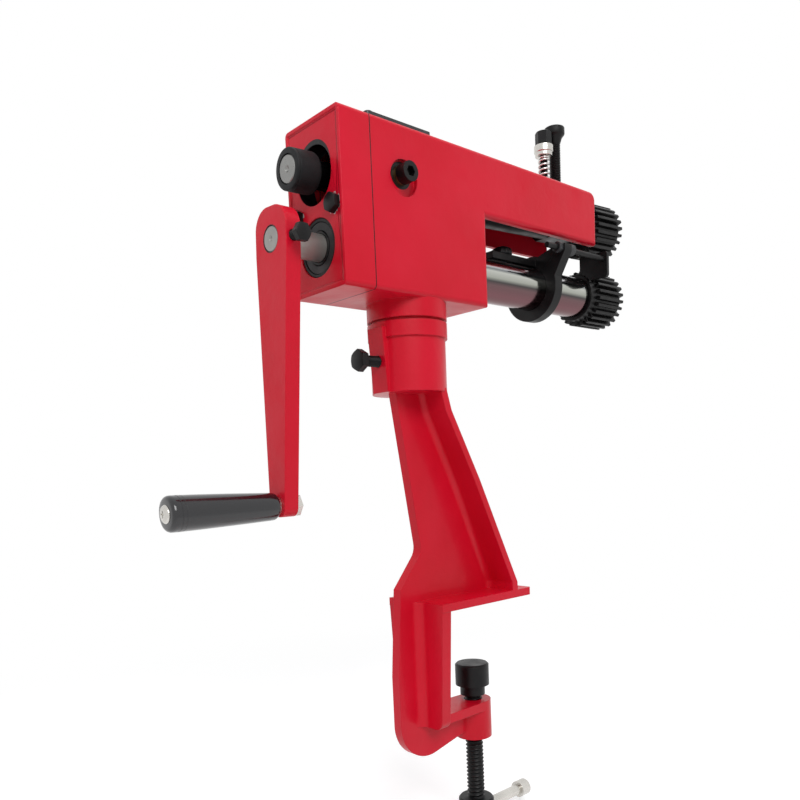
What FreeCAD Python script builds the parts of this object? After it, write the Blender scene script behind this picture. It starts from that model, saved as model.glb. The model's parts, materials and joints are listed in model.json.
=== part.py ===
import FreeCAD, Part
import math
import os
import re
import Sketcher
from FreeCAD import Placement, Rotation, Vector

# A hand cranked bead roller on a bench clamp pedestal, in millimetres.
# X runs from the crank to the rolls, +Z is up, and the origin lies on the clamp screw's axis
# in the plane of the bench top, which the pedestal's foot rests on.

SIZES = {
    # How far a cut or a joined block runs past the face that it meets
    "overrun": 1.0,
    # Bench clamp
    "bench_opening": 66.0,
    "foot_thickness": 7.5,
    "foot_front": 52.0,
    "foot_width": 73.6,
    "foot_corner_radius": 3.0,
    "jaw_depth": 63.0,
    "jaw_flange_thickness": 11.0,
    "jaw_flange_low_width": 60.0,
    "jaw_corner_radius": 9.0,
    "jaw_root_radius": 9.0,
    "web_thickness": 10.0,
    "spine_depth": 102.0,
    "spine_bend_drop": 60.0,
    "kink_depth": 95.5,
    "kink_height": 21.0,
    "waist_height": 54.0,
    "waist_depth": 67.5,
    "waist_radius": 16.0,
    "web_top_depth": 91.5,
    "heel_drop": 151.0,
    "heel_radius": 35.0,
    "toe_drop": 128.0,
    "lower_arm_drop": 103.0,
    "lower_arm_thickness": 9.0,
    "lower_arm_width": 40.0,
    "boss_radius": 18.0,
    "boss_height": 38.0,
    "clamp_screw_radius": 9.0,
    "clamp_screw_length": 108.0,
    "clamp_hub_radius": 18.0,
    "clamp_hub_height": 28.0,
    "clamp_pad_radius": 17.0,
    "clamp_edge": 1.5,
    "clamp_pad_height": 22.0,
    "clamp_neck_radius": 12.5,
    "clamp_neck_height": 10.0,
    "tommy_bar_radius": 5.5,
    "tommy_bar_length": 150.0,
    "tommy_cap_radius": 8.5,
    "tommy_cap_length": 12.0,
    "tommy_cap_cover": 2.0,
    # Pedestal leg and the socket that the head's post turns in
    "flange_thickness": 7.5,
    "flange_foot_reach": 31.5,
    "flange_foot_height": 15.5,
    "flange_knee_reach": -15.0,
    "flange_knee_height": 118.0,
    "flange_neck_reach": -47.7,
    "flange_neck_drop": 20.0,
    "flange_top_reach": -53.0,
    "flange_top_width": 62.0,
    "leg_root_radius": 6.0,
    "post_depth": 69.5,
    "post_radius": 22.5,
    "post_end_gap": 3.0,
    "socket_floor": 6.0,
    "socket_bottom": 199.5,
    "socket_top": 260.5,
    "socket_radius": 34.3,
    "collar_radius": 36.3,
    "collar_height": 13.7,
    "lug_width": 20.0,
    "lug_reach": 37.0,
    "lug_height": 56.0,
    "lug_draft": 2.0,
    "lock_bolt_radius": 5.0,
    "lock_bolt_height": 226.5,
    "lock_head_width": 17.0,
    "lock_head_height": 6.4,
    "lock_head_stand_off": 17.1,
    # Head casting
    "shoulder_inset": 4.0,
    "shoulder_height": 2.5,
    "spigot_inset": 0.7,
    "spigot_height": 15.5,
    "head_width": 74.0,
    "head_height": 138.0,
    "head_rear": 166.5,
    "cover_depth": 31.3,
    "throat_face": 2.0,
    "arm_front": 178.3,
    "arm_height": 54.5,
    "arm_height_rear": 55.5,
    "swing_slot_drop": 2.0,
    "head_edge_radius": 4.0,
    "arm_nose_radius": 9.0,
    "thin_wall": 3.5,
    "thick_wall": 8.0,
    "throat_wall": 14.0,
    "gear_room_gap": 2.0,
    "chamber_floor": 11.5,
    "cover_end_wall": 18.0,
    "rim_width": 3.5,
    "rim_depth": 0.8,
    "cover_bolt_spread": 50.0,
    "cover_bolt_drop": 73.0,
    "cover_bolt_radius": 4.0,
    "cover_boss_radius": 5.8,
    "cover_bolt_length": 48.0,
    "cover_head_width": 14.0,
    "cover_head_height": 5.5,
    "plate_length": 72.0,
    "plate_width": 67.0,
    "plate_thickness": 3.0,
    "plate_gap": 0.7,
    "plate_corner_radius": 3.0,
    "plate_screw_radius": 2.5,
    "plate_screw_head_radius": 4.5,
    "plate_screw_head_height": 2.6,
    "plate_screw_margin": 6.5,
    "window_margin": 12.0,
    # Lower shaft line
    "lower_shaft_height": 36.3,
    "shaft_radius": 11.0,
    "shaft_front": 258.0,
    "running_gap": 0.05,
    "bearing_radius": 23.5,
    "bearing_width": 14.0,
    "bearing_inset": 2.0,
    "bearing_lip": 4.0,
    "tube_radius": 21.3,
    "tube_wall": 3.0,
    "tube_front": 183.5,
    "bush_length": 20.0,
    "spacer_radius": 25.0,
    "spacer_length": 9.5,
    "roll_start": 194.5,
    "roll_length": 46.0,
    "roll_radius": 30.0,
    "roll_teeth": 24,
    "roll_tooth_depth": 5.0,
    "roll_gap_outer": 5.2,
    "roll_gap_inner": 2.2,
    "roll_gap_overrun": 0.3,
    "roll_recess_radius": 21.0,
    "roll_recess_depth": 2.0,
    "roll_nut_width": 32.0,
    "roll_nut_length": 11.0,
    "key_width": 6.0,
    "key_height": 6.0,
    # Gears
    "gear_module": 2.5,
    "gear_teeth": 24,
    "gear_width": 20.0,
    "gear_setback": 13.0,
    "gear_addendum": 0.76,
    "gear_dedendum": 1.2,
    "gear_backlash": 0.6,
    "gear_pressure_angle": 20.0,
    "gear_web_radius": 24.0,
    "gear_hub_radius": 17.0,
    "gear_web_recess": 4.0,
    # Crank
    "crank_rear": 210.7,
    "crank_thickness": 13.5,
    "crank_seat_radius": 9.8,
    "crank_seat_chamfer": 0.8,
    "crank_length": 210.0,
    "crank_head_width": 44.0,
    "crank_head_rise": 24.5,
    "crank_head_round": 17.0,
    "crank_foot_width": 21.4,
    "crank_foot_drop": 9.0,
    "crank_foot_round": 8.0,
    "crank_lean": 3.5,
    "set_screw_radius": 4.0,
    "set_screw_stand_off": 9.0,
    "set_head_width": 13.0,
    "set_head_height": 5.3,
    "tip_gap": 0.3,
    "grip_length": 94.0,
    "grip_inner_radius": 11.3,
    "grip_outer_radius": 13.9,
    "grip_chamfer": 4.5,
    "grip_inner_chamfer": 1.5,
    "spindle_radius": 6.0,
    "spindle_shoulder_radius": 8.0,
    "spindle_shoulder": 2.8,
    "spindle_head_radius": 7.25,
    "spindle_head_flat_radius": 5.1,
    "spindle_head_height": 2.4,
    "spindle_nut_width": 17.0,
    "spindle_nut_height": 6.0,
    "spindle_end_height": 1.0,
    # Upper shaft, which swings with its carrier about the side screws
    "shaft_centres": 61.0,
    "pivot_depth": 100.0,
    "rest_tilt": 2.7,
    "sleeve_radius": 15.5,
    "sleeve_bore_radius": 12.5,
    "sleeve_rear": 12.0,
    "sleeve_end_gap": 9.0,
    "nose_block_length": 40.0,
    "nose_block_width": 32.0,
    "nose_block_chamfer": 4.0,
    "trunnion_radius": 11.0,
    "trunnion_gap": 0.5,
    "pivot_screw_radius": 5.0,
    "pivot_screw_depth": 10.0,
    "pivot_head_radius": 8.25,
    "pivot_head_height": 10.0,
    "pivot_socket_width": 8.0,
    "pivot_socket_depth": 6.0,
    "pivot_bush_radius": 8.0,
    "pivot_bush_proud": 3.0,
    "side_hole_radius": 15.0,
    "side_hole_drop": 3.2,
    "side_hole_depth": 4.0,
    "rear_slot_radius": 23.2,
    "rear_slot_drop": 4.0,
    "collar_knob_radius": 16.3,
    "collar_knob_rear": 91.8,
    "collar_knob_length": 23.0,
    "upper_spacer_radius": 15.5,
    # Screws on top of the arm
    "pressure_screw_place": 158.0,
    "pressure_screw_radius": 6.0,
    "pressure_screw_top": 73.5,
    "pressure_head_radius": 10.8,
    "pressure_head_height": 8.0,
    "pressure_head_chamfer": 0.8,
    "shoe_radius": 8.0,
    "shoe_height": 3.8,
    "shoe_gap": 0.5,
    "spring_bolt_place": 138.4,
    "spring_bolt_radius": 4.0,
    "spring_bolt_reach": 8.5,
    "spring_bolt_gap": 0.4,
    "spring_bolt_hole_radius": 5.4,
    "spring_seat_radius": 9.0,
    "spring_seat_height": 1.5,
    "spring_radius": 6.3,
    "spring_wire_radius": 0.8,
    "spring_length": 38.0,
    "small_washer_radius": 9.0,
    "small_washer_height": 4.0,
    "large_washer_radius": 10.0,
    "large_washer_height": 7.0,
    "spring_head_width": 15.0,
    "spring_head_height": 14.0,
    # Gauge on the tube
    "gauge_start": 109.5,
    "gauge_thickness": 12.0,
    "gauge_ring_radius": 33.0,
    "tail_length": 67.0,
    "tail_width": 16.0,
    "tail_thickness": 6.6,
    "tail_lift": 0.3,
    "thumb_screw_place": 65.5,
    "thumb_screw_radius": 3.0,
    "thumb_screw_gap": 0.1,
    "thumb_head_radius": 10.5,
    "thumb_head_height": 8.5,
    "rod_side": 39.0,
    "rod_rise": 37.0,
    "rod_drop": 3.3,
    "rod_radius": 2.75,
    "rod_eye_radius": 6.5,
    "rod_arm_side_inset": 6.0,
    "rod_arm_top_inset": 5.0,
    "rod_length": 98.0,
    "rod_nut_width": 10.0,
    "rod_nut_height": 5.0,
    "rod_knob_radius": 6.0,
    "rod_knob_length": 9.0,
    "fence_start": 186.5,
    "fence_thickness": 4.0,
    "fence_outer": 44.0,
    "fence_inner": 9.0,
    "fence_bottom": 14.7,
    "fence_top": 41.7,
    "fence_relief_radius": 26.0,
    "fence_corner_radius": 3.0,
}

doc = FreeCAD.newDocument("bead_roller")
sheet = doc.addObject("Spreadsheet::Sheet", "size")
for row, (alias, number) in enumerate(SIZES.items(), start=1):
    sheet.set("A%d" % row, str(number))
    sheet.setAlias("A%d" % row, alias)
doc.recompute()

# Places worked out from the driving sizes
HEAD_BOTTOM = "(socket_top + shoulder_height + spigot_height)"
HEAD_TOP = "(" + HEAD_BOTTOM + " + head_height)"
LOWER_Z = "(" + HEAD_BOTTOM + " + lower_shaft_height)"
PIVOT_Z = "(" + LOWER_Z + " + shaft_centres)"
SEAM = "(cover_depth - head_rear)"
CEILING = "(" + HEAD_TOP + " - thick_wall)"
GEAR_ROOM_END = "(gear_room_gap - pivot_depth - gear_setback)"
GEAR_ROOM_DEPTH = "(" + GEAR_ROOM_END + " - " + SEAM + ")"
INNER_WALL = "(head_width / 2 - thick_wall)"
CRANK_FRONT = "(crank_thickness - crank_rear)"
SPIGOT_RADIUS = "(head_width / 2 - spigot_inset)"
SLEEVE_FRONT = "(roll_start + pivot_depth - spacer_length - sleeve_end_gap)"
PEDESTAL_TOP = "(socket_bottom + socket_floor / 2)"
NECK_Z = "(" + PEDESTAL_TOP + " - flange_neck_drop)"

nodes = []

TOUCHING = 0.01
STRAIGHT = 1e-6
FLANK_STEPS = 3


def formula(text):
    """The text with each size's name pointing at its cell."""
    def cell(word):
        return "size." + word.group(0) if word.group(0) in SIZES else word.group(0)

    return re.sub(r"[a-z][a-z0-9_]+", cell, text)


def bind(thing, what, text):
    thing.setExpression(what, formula(text))


def size(alias):
    return float(sheet.get(alias))


def keep(thing, name):
    """Make this object the sub-part of that name."""
    thing.Label = name
    nodes.append(thing)
    return thing


def new_body(name, x="0", y="0", z="0"):
    body = keep(doc.addObject("PartDesign::Body", name), name)
    for axis, text in zip("xyz", (x, y, z)):
        if text != "0":
            bind(body, "Placement.Base." + axis, text)
    return body


def turned_about(body, axis, angle):
    """Turn the body about an axis through its own origin."""
    body.Placement.Rotation = Rotation(axis, 1.0)
    bind(body, "Placement.Rotation.Angle", angle)
    return body


def on_carrier(name):
    """A body that swings with the upper shaft: its X axis is the shaft, from the pivot."""
    return turned_about(new_body(name, "-pivot_depth", "0", PIVOT_Z), Vector(0, 1, 0), "-rest_tilt")


def on_crank(name):
    """A body that turns with the crank: its origin is on the lower shaft at the arm's rear face."""
    return turned_about(new_body(name, "-crank_rear", "0", LOWER_Z), Vector(1, 0, 0), "crank_lean")


def sketch_on(body, role, start="0", aside="0", up="0", turn="0"):
    """A sketch parallel to one of the body's planes, that far along its normal and moved in its plane."""
    sketch = body.newObject("Sketcher::SketchObject", body.Name + "_sketch")
    plane = [part for part in body.Origin.OriginFeatures if part.Role == role + "_Plane"][0]
    sketch.AttachmentSupport = [(plane, "")]
    sketch.MapMode = "FlatFace"
    for place, text in (("Base.z", start), ("Base.x", aside), ("Base.y", up), ("Rotation.Angle", turn)):
        if text != "0":
            bind(sketch, "AttachmentOffset." + place, text)
    return sketch


def fix_point(sketch, line, end, across, up):
    """Hold one point of a line or circle at a place given by formulas."""
    for kind, text, axis in (("DistanceX", across, -2), ("DistanceY", up, -1)):
        if text == "0":
            sketch.addConstraint(Sketcher.Constraint("PointOnObject", line, end, axis))
        else:
            number = sketch.addConstraint(Sketcher.Constraint(kind, line, end, 1.0))
            bind(sketch, "Constraints[%d]" % number, text)


def polygon(sketch, *corners):
    """A closed outline whose corners are held at formulas."""
    count = len(corners)
    first = sketch.GeometryCount
    spread = [2 * math.pi * step / count for step in range(count)]
    points = [Vector(math.cos(angle), math.sin(angle), 0) for angle in spread]
    for step in range(count):
        sketch.addGeometry(Part.LineSegment(points[step], points[(step + 1) % count]))
    for step in range(count):
        following = first + (step + 1) % count
        sketch.addConstraint(Sketcher.Constraint("Coincident", first + step, 2, following, 1))
    for step, (across, up) in enumerate(corners):
        fix_point(sketch, first + step, 1, across, up)
    return sketch


def circle(sketch, across, up, radius):
    line = sketch.addGeometry(Part.Circle(Vector(0.5, 0.5, 0), Vector(0, 0, 1), 1.0))
    fix_point(sketch, line, 3, across, up)
    number = sketch.addConstraint(Sketcher.Constraint("Radius", line, 1.0))
    bind(sketch, "Constraints[%d]" % number, radius)
    return sketch


def hexagon(sketch, across, up, width):
    """A hexagon of that width across its flats, two of them level."""
    half = "(%s) / 2" % width
    corner = "(%s) / 2 / cos(30)" % width
    step = "(%s) / 2 * tan(30)" % width
    places = [(corner, "0"), (step, half), ("-" + step, half), ("-" + corner, "0"), ("-" + step, "-" + half),
              (step, "-" + half)]
    corners = [("(%s) + (%s)" % (across, side), "(%s) + (%s)" % (up, rise)) for side, rise in places]
    return polygon(sketch, *corners)


def pad(body, sketch, length, middle=False):
    feature = body.newObject("PartDesign::Pad", body.Name + "_pad")
    feature.Profile = sketch
    feature.Midplane = middle
    bind(feature, "Length", length)
    return feature


def pocket(body, sketch, length, middle=False):
    """Cut from the sketch along its plane's normal, or half to each side."""
    feature = body.newObject("PartDesign::Pocket", body.Name + "_pocket")
    feature.Profile = sketch
    feature.Midplane = middle
    feature.Reversed = not middle
    bind(feature, "Length", length)
    return feature


def revolve(body, sketch, axis="H_Axis"):
    feature = body.newObject("PartDesign::Revolution", body.Name + "_turned")
    feature.Profile = sketch
    feature.ReferenceAxis = (sketch, [axis])
    feature.Angle = 360
    return feature


def round_edges(body, radius, picked, kind="Fillet"):
    """Round or chamfer the edges of the body so far that the test picks."""
    doc.recompute()
    tip = body.Tip
    names = ["Edge%d" % (number + 1) for number, edge in enumerate(tip.Shape.Edges) if picked(edge)]
    feature = body.newObject("PartDesign::" + kind, body.Name + "_" + kind.lower())
    feature.Base = (tip, names)
    bind(feature, "Radius" if kind == "Fillet" else "Size", radius)
    return feature


def along(edge, axis):
    """Whether a straight edge runs along that axis."""
    if edge.Curve.TypeId != "Part::GeomLine":
        return False
    step = edge.Vertexes[-1].Point - edge.Vertexes[0].Point
    return abs(abs(getattr(step, axis)) - step.Length) < STRAIGHT


def near(value, wanted):
    return abs(value - wanted) < TOUCHING


def ring(name, body_maker, start, length, outer, inner):
    """A plain ring or bush about the X axis of the body."""
    body = body_maker(name)
    end = "(%s) + (%s)" % (start, length)
    revolve(body, polygon(sketch_on(body, "XZ"), (start, inner), (end, inner), (end, outer), (start, outer)))
    return body


def on_lower_axis(name):
    return new_body(name, "0", "0", LOWER_Z)


# Pedestal: one casting of T section, from the swivel socket down to the clamp's lower arm
def add_web(body):
    """The upright plate in the casting's middle, with its rounded heel and waist."""
    outline = polygon(sketch_on(body, "XZ"),
                      ("-web_top_depth", PEDESTAL_TOP),
                      ("-waist_depth", "waist_height"),
                      ("-kink_depth", "kink_height"),
                      ("-spine_depth", "-spine_bend_drop"),
                      ("-spine_depth", "-heel_drop"),
                      ("0", "-toe_drop"),
                      ("0", "-lower_arm_drop"),
                      ("-jaw_depth", "-lower_arm_drop"),
                      ("-jaw_depth", "0"),
                      ("flange_foot_reach", "0"),
                      ("flange_foot_reach", "flange_foot_height"),
                      ("flange_knee_reach", "flange_knee_height"),
                      ("flange_neck_reach", NECK_Z),
                      ("flange_top_reach", PEDESTAL_TOP))
    pad(body, outline, "web_thickness", middle=True)
    heel = size("heel_drop")
    waist = size("waist_height")
    round_edges(body, "heel_radius", lambda edge: along(edge, "y") and near(edge.CenterOfMass.z, -heel))
    round_edges(body, "waist_radius", lambda edge: along(edge, "y") and near(edge.CenterOfMass.z, waist))


def add_leg_flange(body):
    """The leg's front flange, which narrows upward and meets the web in a fillet."""
    back = " - flange_thickness"
    outline = polygon(sketch_on(body, "XZ"),
                      ("flange_foot_reach", "0"),
                      ("flange_foot_reach", "flange_foot_height"),
                      ("flange_knee_reach", "flange_knee_height"),
                      ("flange_neck_reach", NECK_Z),
                      ("flange_top_reach", PEDESTAL_TOP),
                      ("flange_top_reach" + back, PEDESTAL_TOP),
                      ("flange_neck_reach" + back, NECK_Z),
                      ("flange_knee_reach" + back, "flange_knee_height"),
                      ("flange_foot_reach" + back, "flange_foot_height"),
                      ("flange_foot_reach" + back, "0"))
    pad(body, outline, "foot_width", middle=True)
    sides = sketch_on(body, "YZ", "-post_depth")
    for side in ("", "-"):
        polygon(sides,
                (side + "flange_top_width / 2", PEDESTAL_TOP),
                (side + "foot_width / 2", "foot_thickness"),
                (side + "foot_width", "foot_thickness"),
                (side + "foot_width", PEDESTAL_TOP))
    pocket(body, sides, "post_depth + foot_front")
    round_edges(body, "leg_root_radius", is_leg_root)


def is_leg_root(edge):
    """Whether an edge is where the web meets the leg flange's rear face."""
    middle = edge.CenterOfMass
    beside_web = near(abs(middle.y), size("web_thickness") / 2)
    on_flange = all(near(end.X, flange_rear(end.Z)) for end in edge.Vertexes)
    over_jaw = middle.z > 0 and middle.x > -size("jaw_depth")
    return beside_web and on_flange and over_jaw and not along(edge, "x")


def flange_rear(height):
    """Where the leg flange's rear face is at a height."""
    top = size("socket_bottom") + size("socket_floor") / 2
    knots = [(0, "flange_foot_reach"), (size("flange_foot_height"), "flange_foot_reach"),
             (size("flange_knee_height"), "flange_knee_reach"),
             (top - size("flange_neck_drop"), "flange_neck_reach"), (top, "flange_top_reach")]
    for (low, start), (high, end) in zip(knots, knots[1:]):
        if low <= height <= high + TOUCHING:
            part = (height - low) / (high - low)
            return size(start) + part * (size(end) - size(start)) - size("flange_thickness")
    return math.inf


def add_jaw(body):
    """The flange against the bench edge, the foot on the bench and the lower arm with its boss."""
    flange = polygon(sketch_on(body, "YZ", "-jaw_depth - jaw_flange_thickness"),
                     ("-foot_width / 2", "foot_thickness"), ("foot_width / 2", "foot_thickness"),
                     ("jaw_flange_low_width / 2", "-lower_arm_drop - lower_arm_thickness"),
                     ("-jaw_flange_low_width / 2", "-lower_arm_drop - lower_arm_thickness"))
    pad(body, flange, "jaw_flange_thickness")
    half_web = size("web_thickness") / 2
    back = size("jaw_depth") + size("jaw_flange_thickness")
    low = size("lower_arm_drop") + size("lower_arm_thickness")
    round_edges(body, "jaw_root_radius", lambda edge: along(edge, "z") and near(edge.CenterOfMass.x, -back)
                and near(abs(edge.CenterOfMass.y), half_web))
    round_edges(body, "jaw_corner_radius", lambda edge: along(edge, "x") and near(edge.CenterOfMass.z, -low)
                and abs(edge.CenterOfMass.y) > half_web * 2)
    foot = polygon(sketch_on(body, "XY"),
                   ("-jaw_depth - jaw_flange_thickness", "-foot_width / 2"),
                   ("foot_front", "-foot_width / 2"),
                   ("foot_front", "foot_width / 2"),
                   ("-jaw_depth - jaw_flange_thickness", "foot_width / 2"))
    pad(body, foot, "foot_thickness")
    front = size("foot_front")
    round_edges(body, "foot_corner_radius",
                lambda edge: along(edge, "z") and near(edge.CenterOfMass.x, front))
    arm = polygon(sketch_on(body, "XY", "-lower_arm_drop - lower_arm_thickness"),
                  ("-jaw_depth - jaw_flange_thickness / 2", "-lower_arm_width / 2"), ("0", "-boss_radius"),
                  ("0", "boss_radius"), ("-jaw_depth - jaw_flange_thickness / 2", "lower_arm_width / 2"))
    pad(body, arm, "lower_arm_thickness")
    boss = sketch_on(body, "XY", "-lower_arm_drop - boss_height")
    pad(body, circle(boss, "0", "0", "boss_radius"), "boss_height")


def make_pedestal():
    body = new_body("pedestal")
    add_web(body)
    add_leg_flange(body)
    add_jaw(body)
    pad(body, circle(sketch_on(body, "XY", "socket_bottom"), "-post_depth", "0", "socket_radius"),
        "socket_top - socket_bottom")
    collar = sketch_on(body, "XY", "socket_top - collar_height")
    pad(body, circle(collar, "-post_depth", "0", "collar_radius"), "collar_height")
    lug = polygon(sketch_on(body, "XZ"),
                  ("-post_depth - lug_reach - lug_draft", "socket_bottom + lug_height"),
                  ("-post_depth - lug_reach + lug_draft", "socket_bottom"),
                  ("-post_depth - post_radius", "socket_bottom"),
                  ("-post_depth - post_radius", "socket_bottom + lug_height"))
    pad(body, lug, "lug_width", middle=True)
    pocket(body, circle(sketch_on(body, "XY", "socket_bottom + socket_floor"), "-post_depth", "0",
                        "post_radius + running_gap"), "socket_top - socket_bottom")
    pocket(body, circle(sketch_on(body, "XY", "-lower_arm_drop - boss_height"), "0", "0",
                        "clamp_screw_radius + running_gap"), "boss_height")
    pocket(body, circle(sketch_on(body, "YZ", "-post_depth - lug_reach - lug_draft"), "0", "lock_bolt_height",
                        "lock_bolt_radius + running_gap"), "lug_reach + lug_draft")


# Clamp: a screw with a swivelling pad, turned by a sliding bar
def make_clamp():
    foot = new_body("clamp_pad", "0", "0", "-bench_opening")
    revolve(foot, polygon(sketch_on(foot, "XZ"),
                          ("0", "0"), ("clamp_pad_radius - clamp_edge", "0"),
                          ("clamp_pad_radius", "-clamp_edge"),
                          ("clamp_pad_radius", "-clamp_pad_height"),
                          ("clamp_neck_radius", "-clamp_pad_height"),
                          ("clamp_neck_radius", "-clamp_pad_height - clamp_neck_height"),
                          ("0", "-clamp_pad_height - clamp_neck_height")), "V_Axis")
    top = "(-bench_opening - clamp_pad_height - clamp_neck_height)"
    screw = new_body("clamp_screw", "0", "0", top)
    hub_bottom = "-clamp_screw_length - clamp_hub_height"
    revolve(screw, polygon(sketch_on(screw, "XZ"),
                           ("0", "0"), ("clamp_screw_radius", "0"),
                           ("clamp_screw_radius", "-clamp_screw_length"),
                           ("clamp_hub_radius - clamp_edge", "-clamp_screw_length"),
                           ("clamp_hub_radius", "-clamp_screw_length - clamp_edge"),
                           ("clamp_hub_radius", hub_bottom + " + clamp_edge"),
                           ("clamp_hub_radius - clamp_edge", hub_bottom),
                           ("0", hub_bottom)), "V_Axis")
    middle = "(-clamp_screw_length - clamp_hub_height / 2)"
    pocket(screw, circle(sketch_on(screw, "YZ"), "0", middle, "tommy_bar_radius + running_gap"),
           "(clamp_hub_radius + overrun) * 2", middle=True)
    bar = new_body("tommy_bar", "0", "0", top + " + " + middle)
    pad(bar, circle(sketch_on(bar, "YZ"), "0", "0", "tommy_bar_radius"), "tommy_bar_length", middle=True)
    for name, start in (("tommy_bar_front_cap", "tommy_bar_length / 2 - tommy_cap_length + tommy_cap_cover"),
                        ("tommy_bar_rear_cap", "-tommy_bar_length / 2 - tommy_cap_cover")):
        cap = new_body(name, "0", "0", top + " + " + middle)
        pad(cap, circle(sketch_on(cap, "YZ", start), "0", "0", "tommy_cap_radius"), "tommy_cap_length")
        pocket(cap, circle(sketch_on(cap, "YZ", "-tommy_bar_length / 2"), "0", "0", "tommy_bar_radius"),
               "tommy_bar_length")


def hex_bolt(body, shank, shank_length, width, head_height):
    """A bolt along the body's X axis, the head's underside at its origin and the head behind it."""
    pad(body, circle(sketch_on(body, "YZ"), "0", "0", shank), shank_length)
    pad(body, hexagon(sketch_on(body, "YZ", "-(%s)" % head_height), "0", "0", width), head_height)
    return body


def make_lock_bolt():
    body = new_body("lock_bolt", "-post_depth - lug_reach - lock_head_stand_off", "0", "lock_bolt_height")
    hex_bolt(body, "lock_bolt_radius", "lug_reach + lock_head_stand_off - post_radius - tip_gap",
             "lock_head_width", "lock_head_height")


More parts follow.
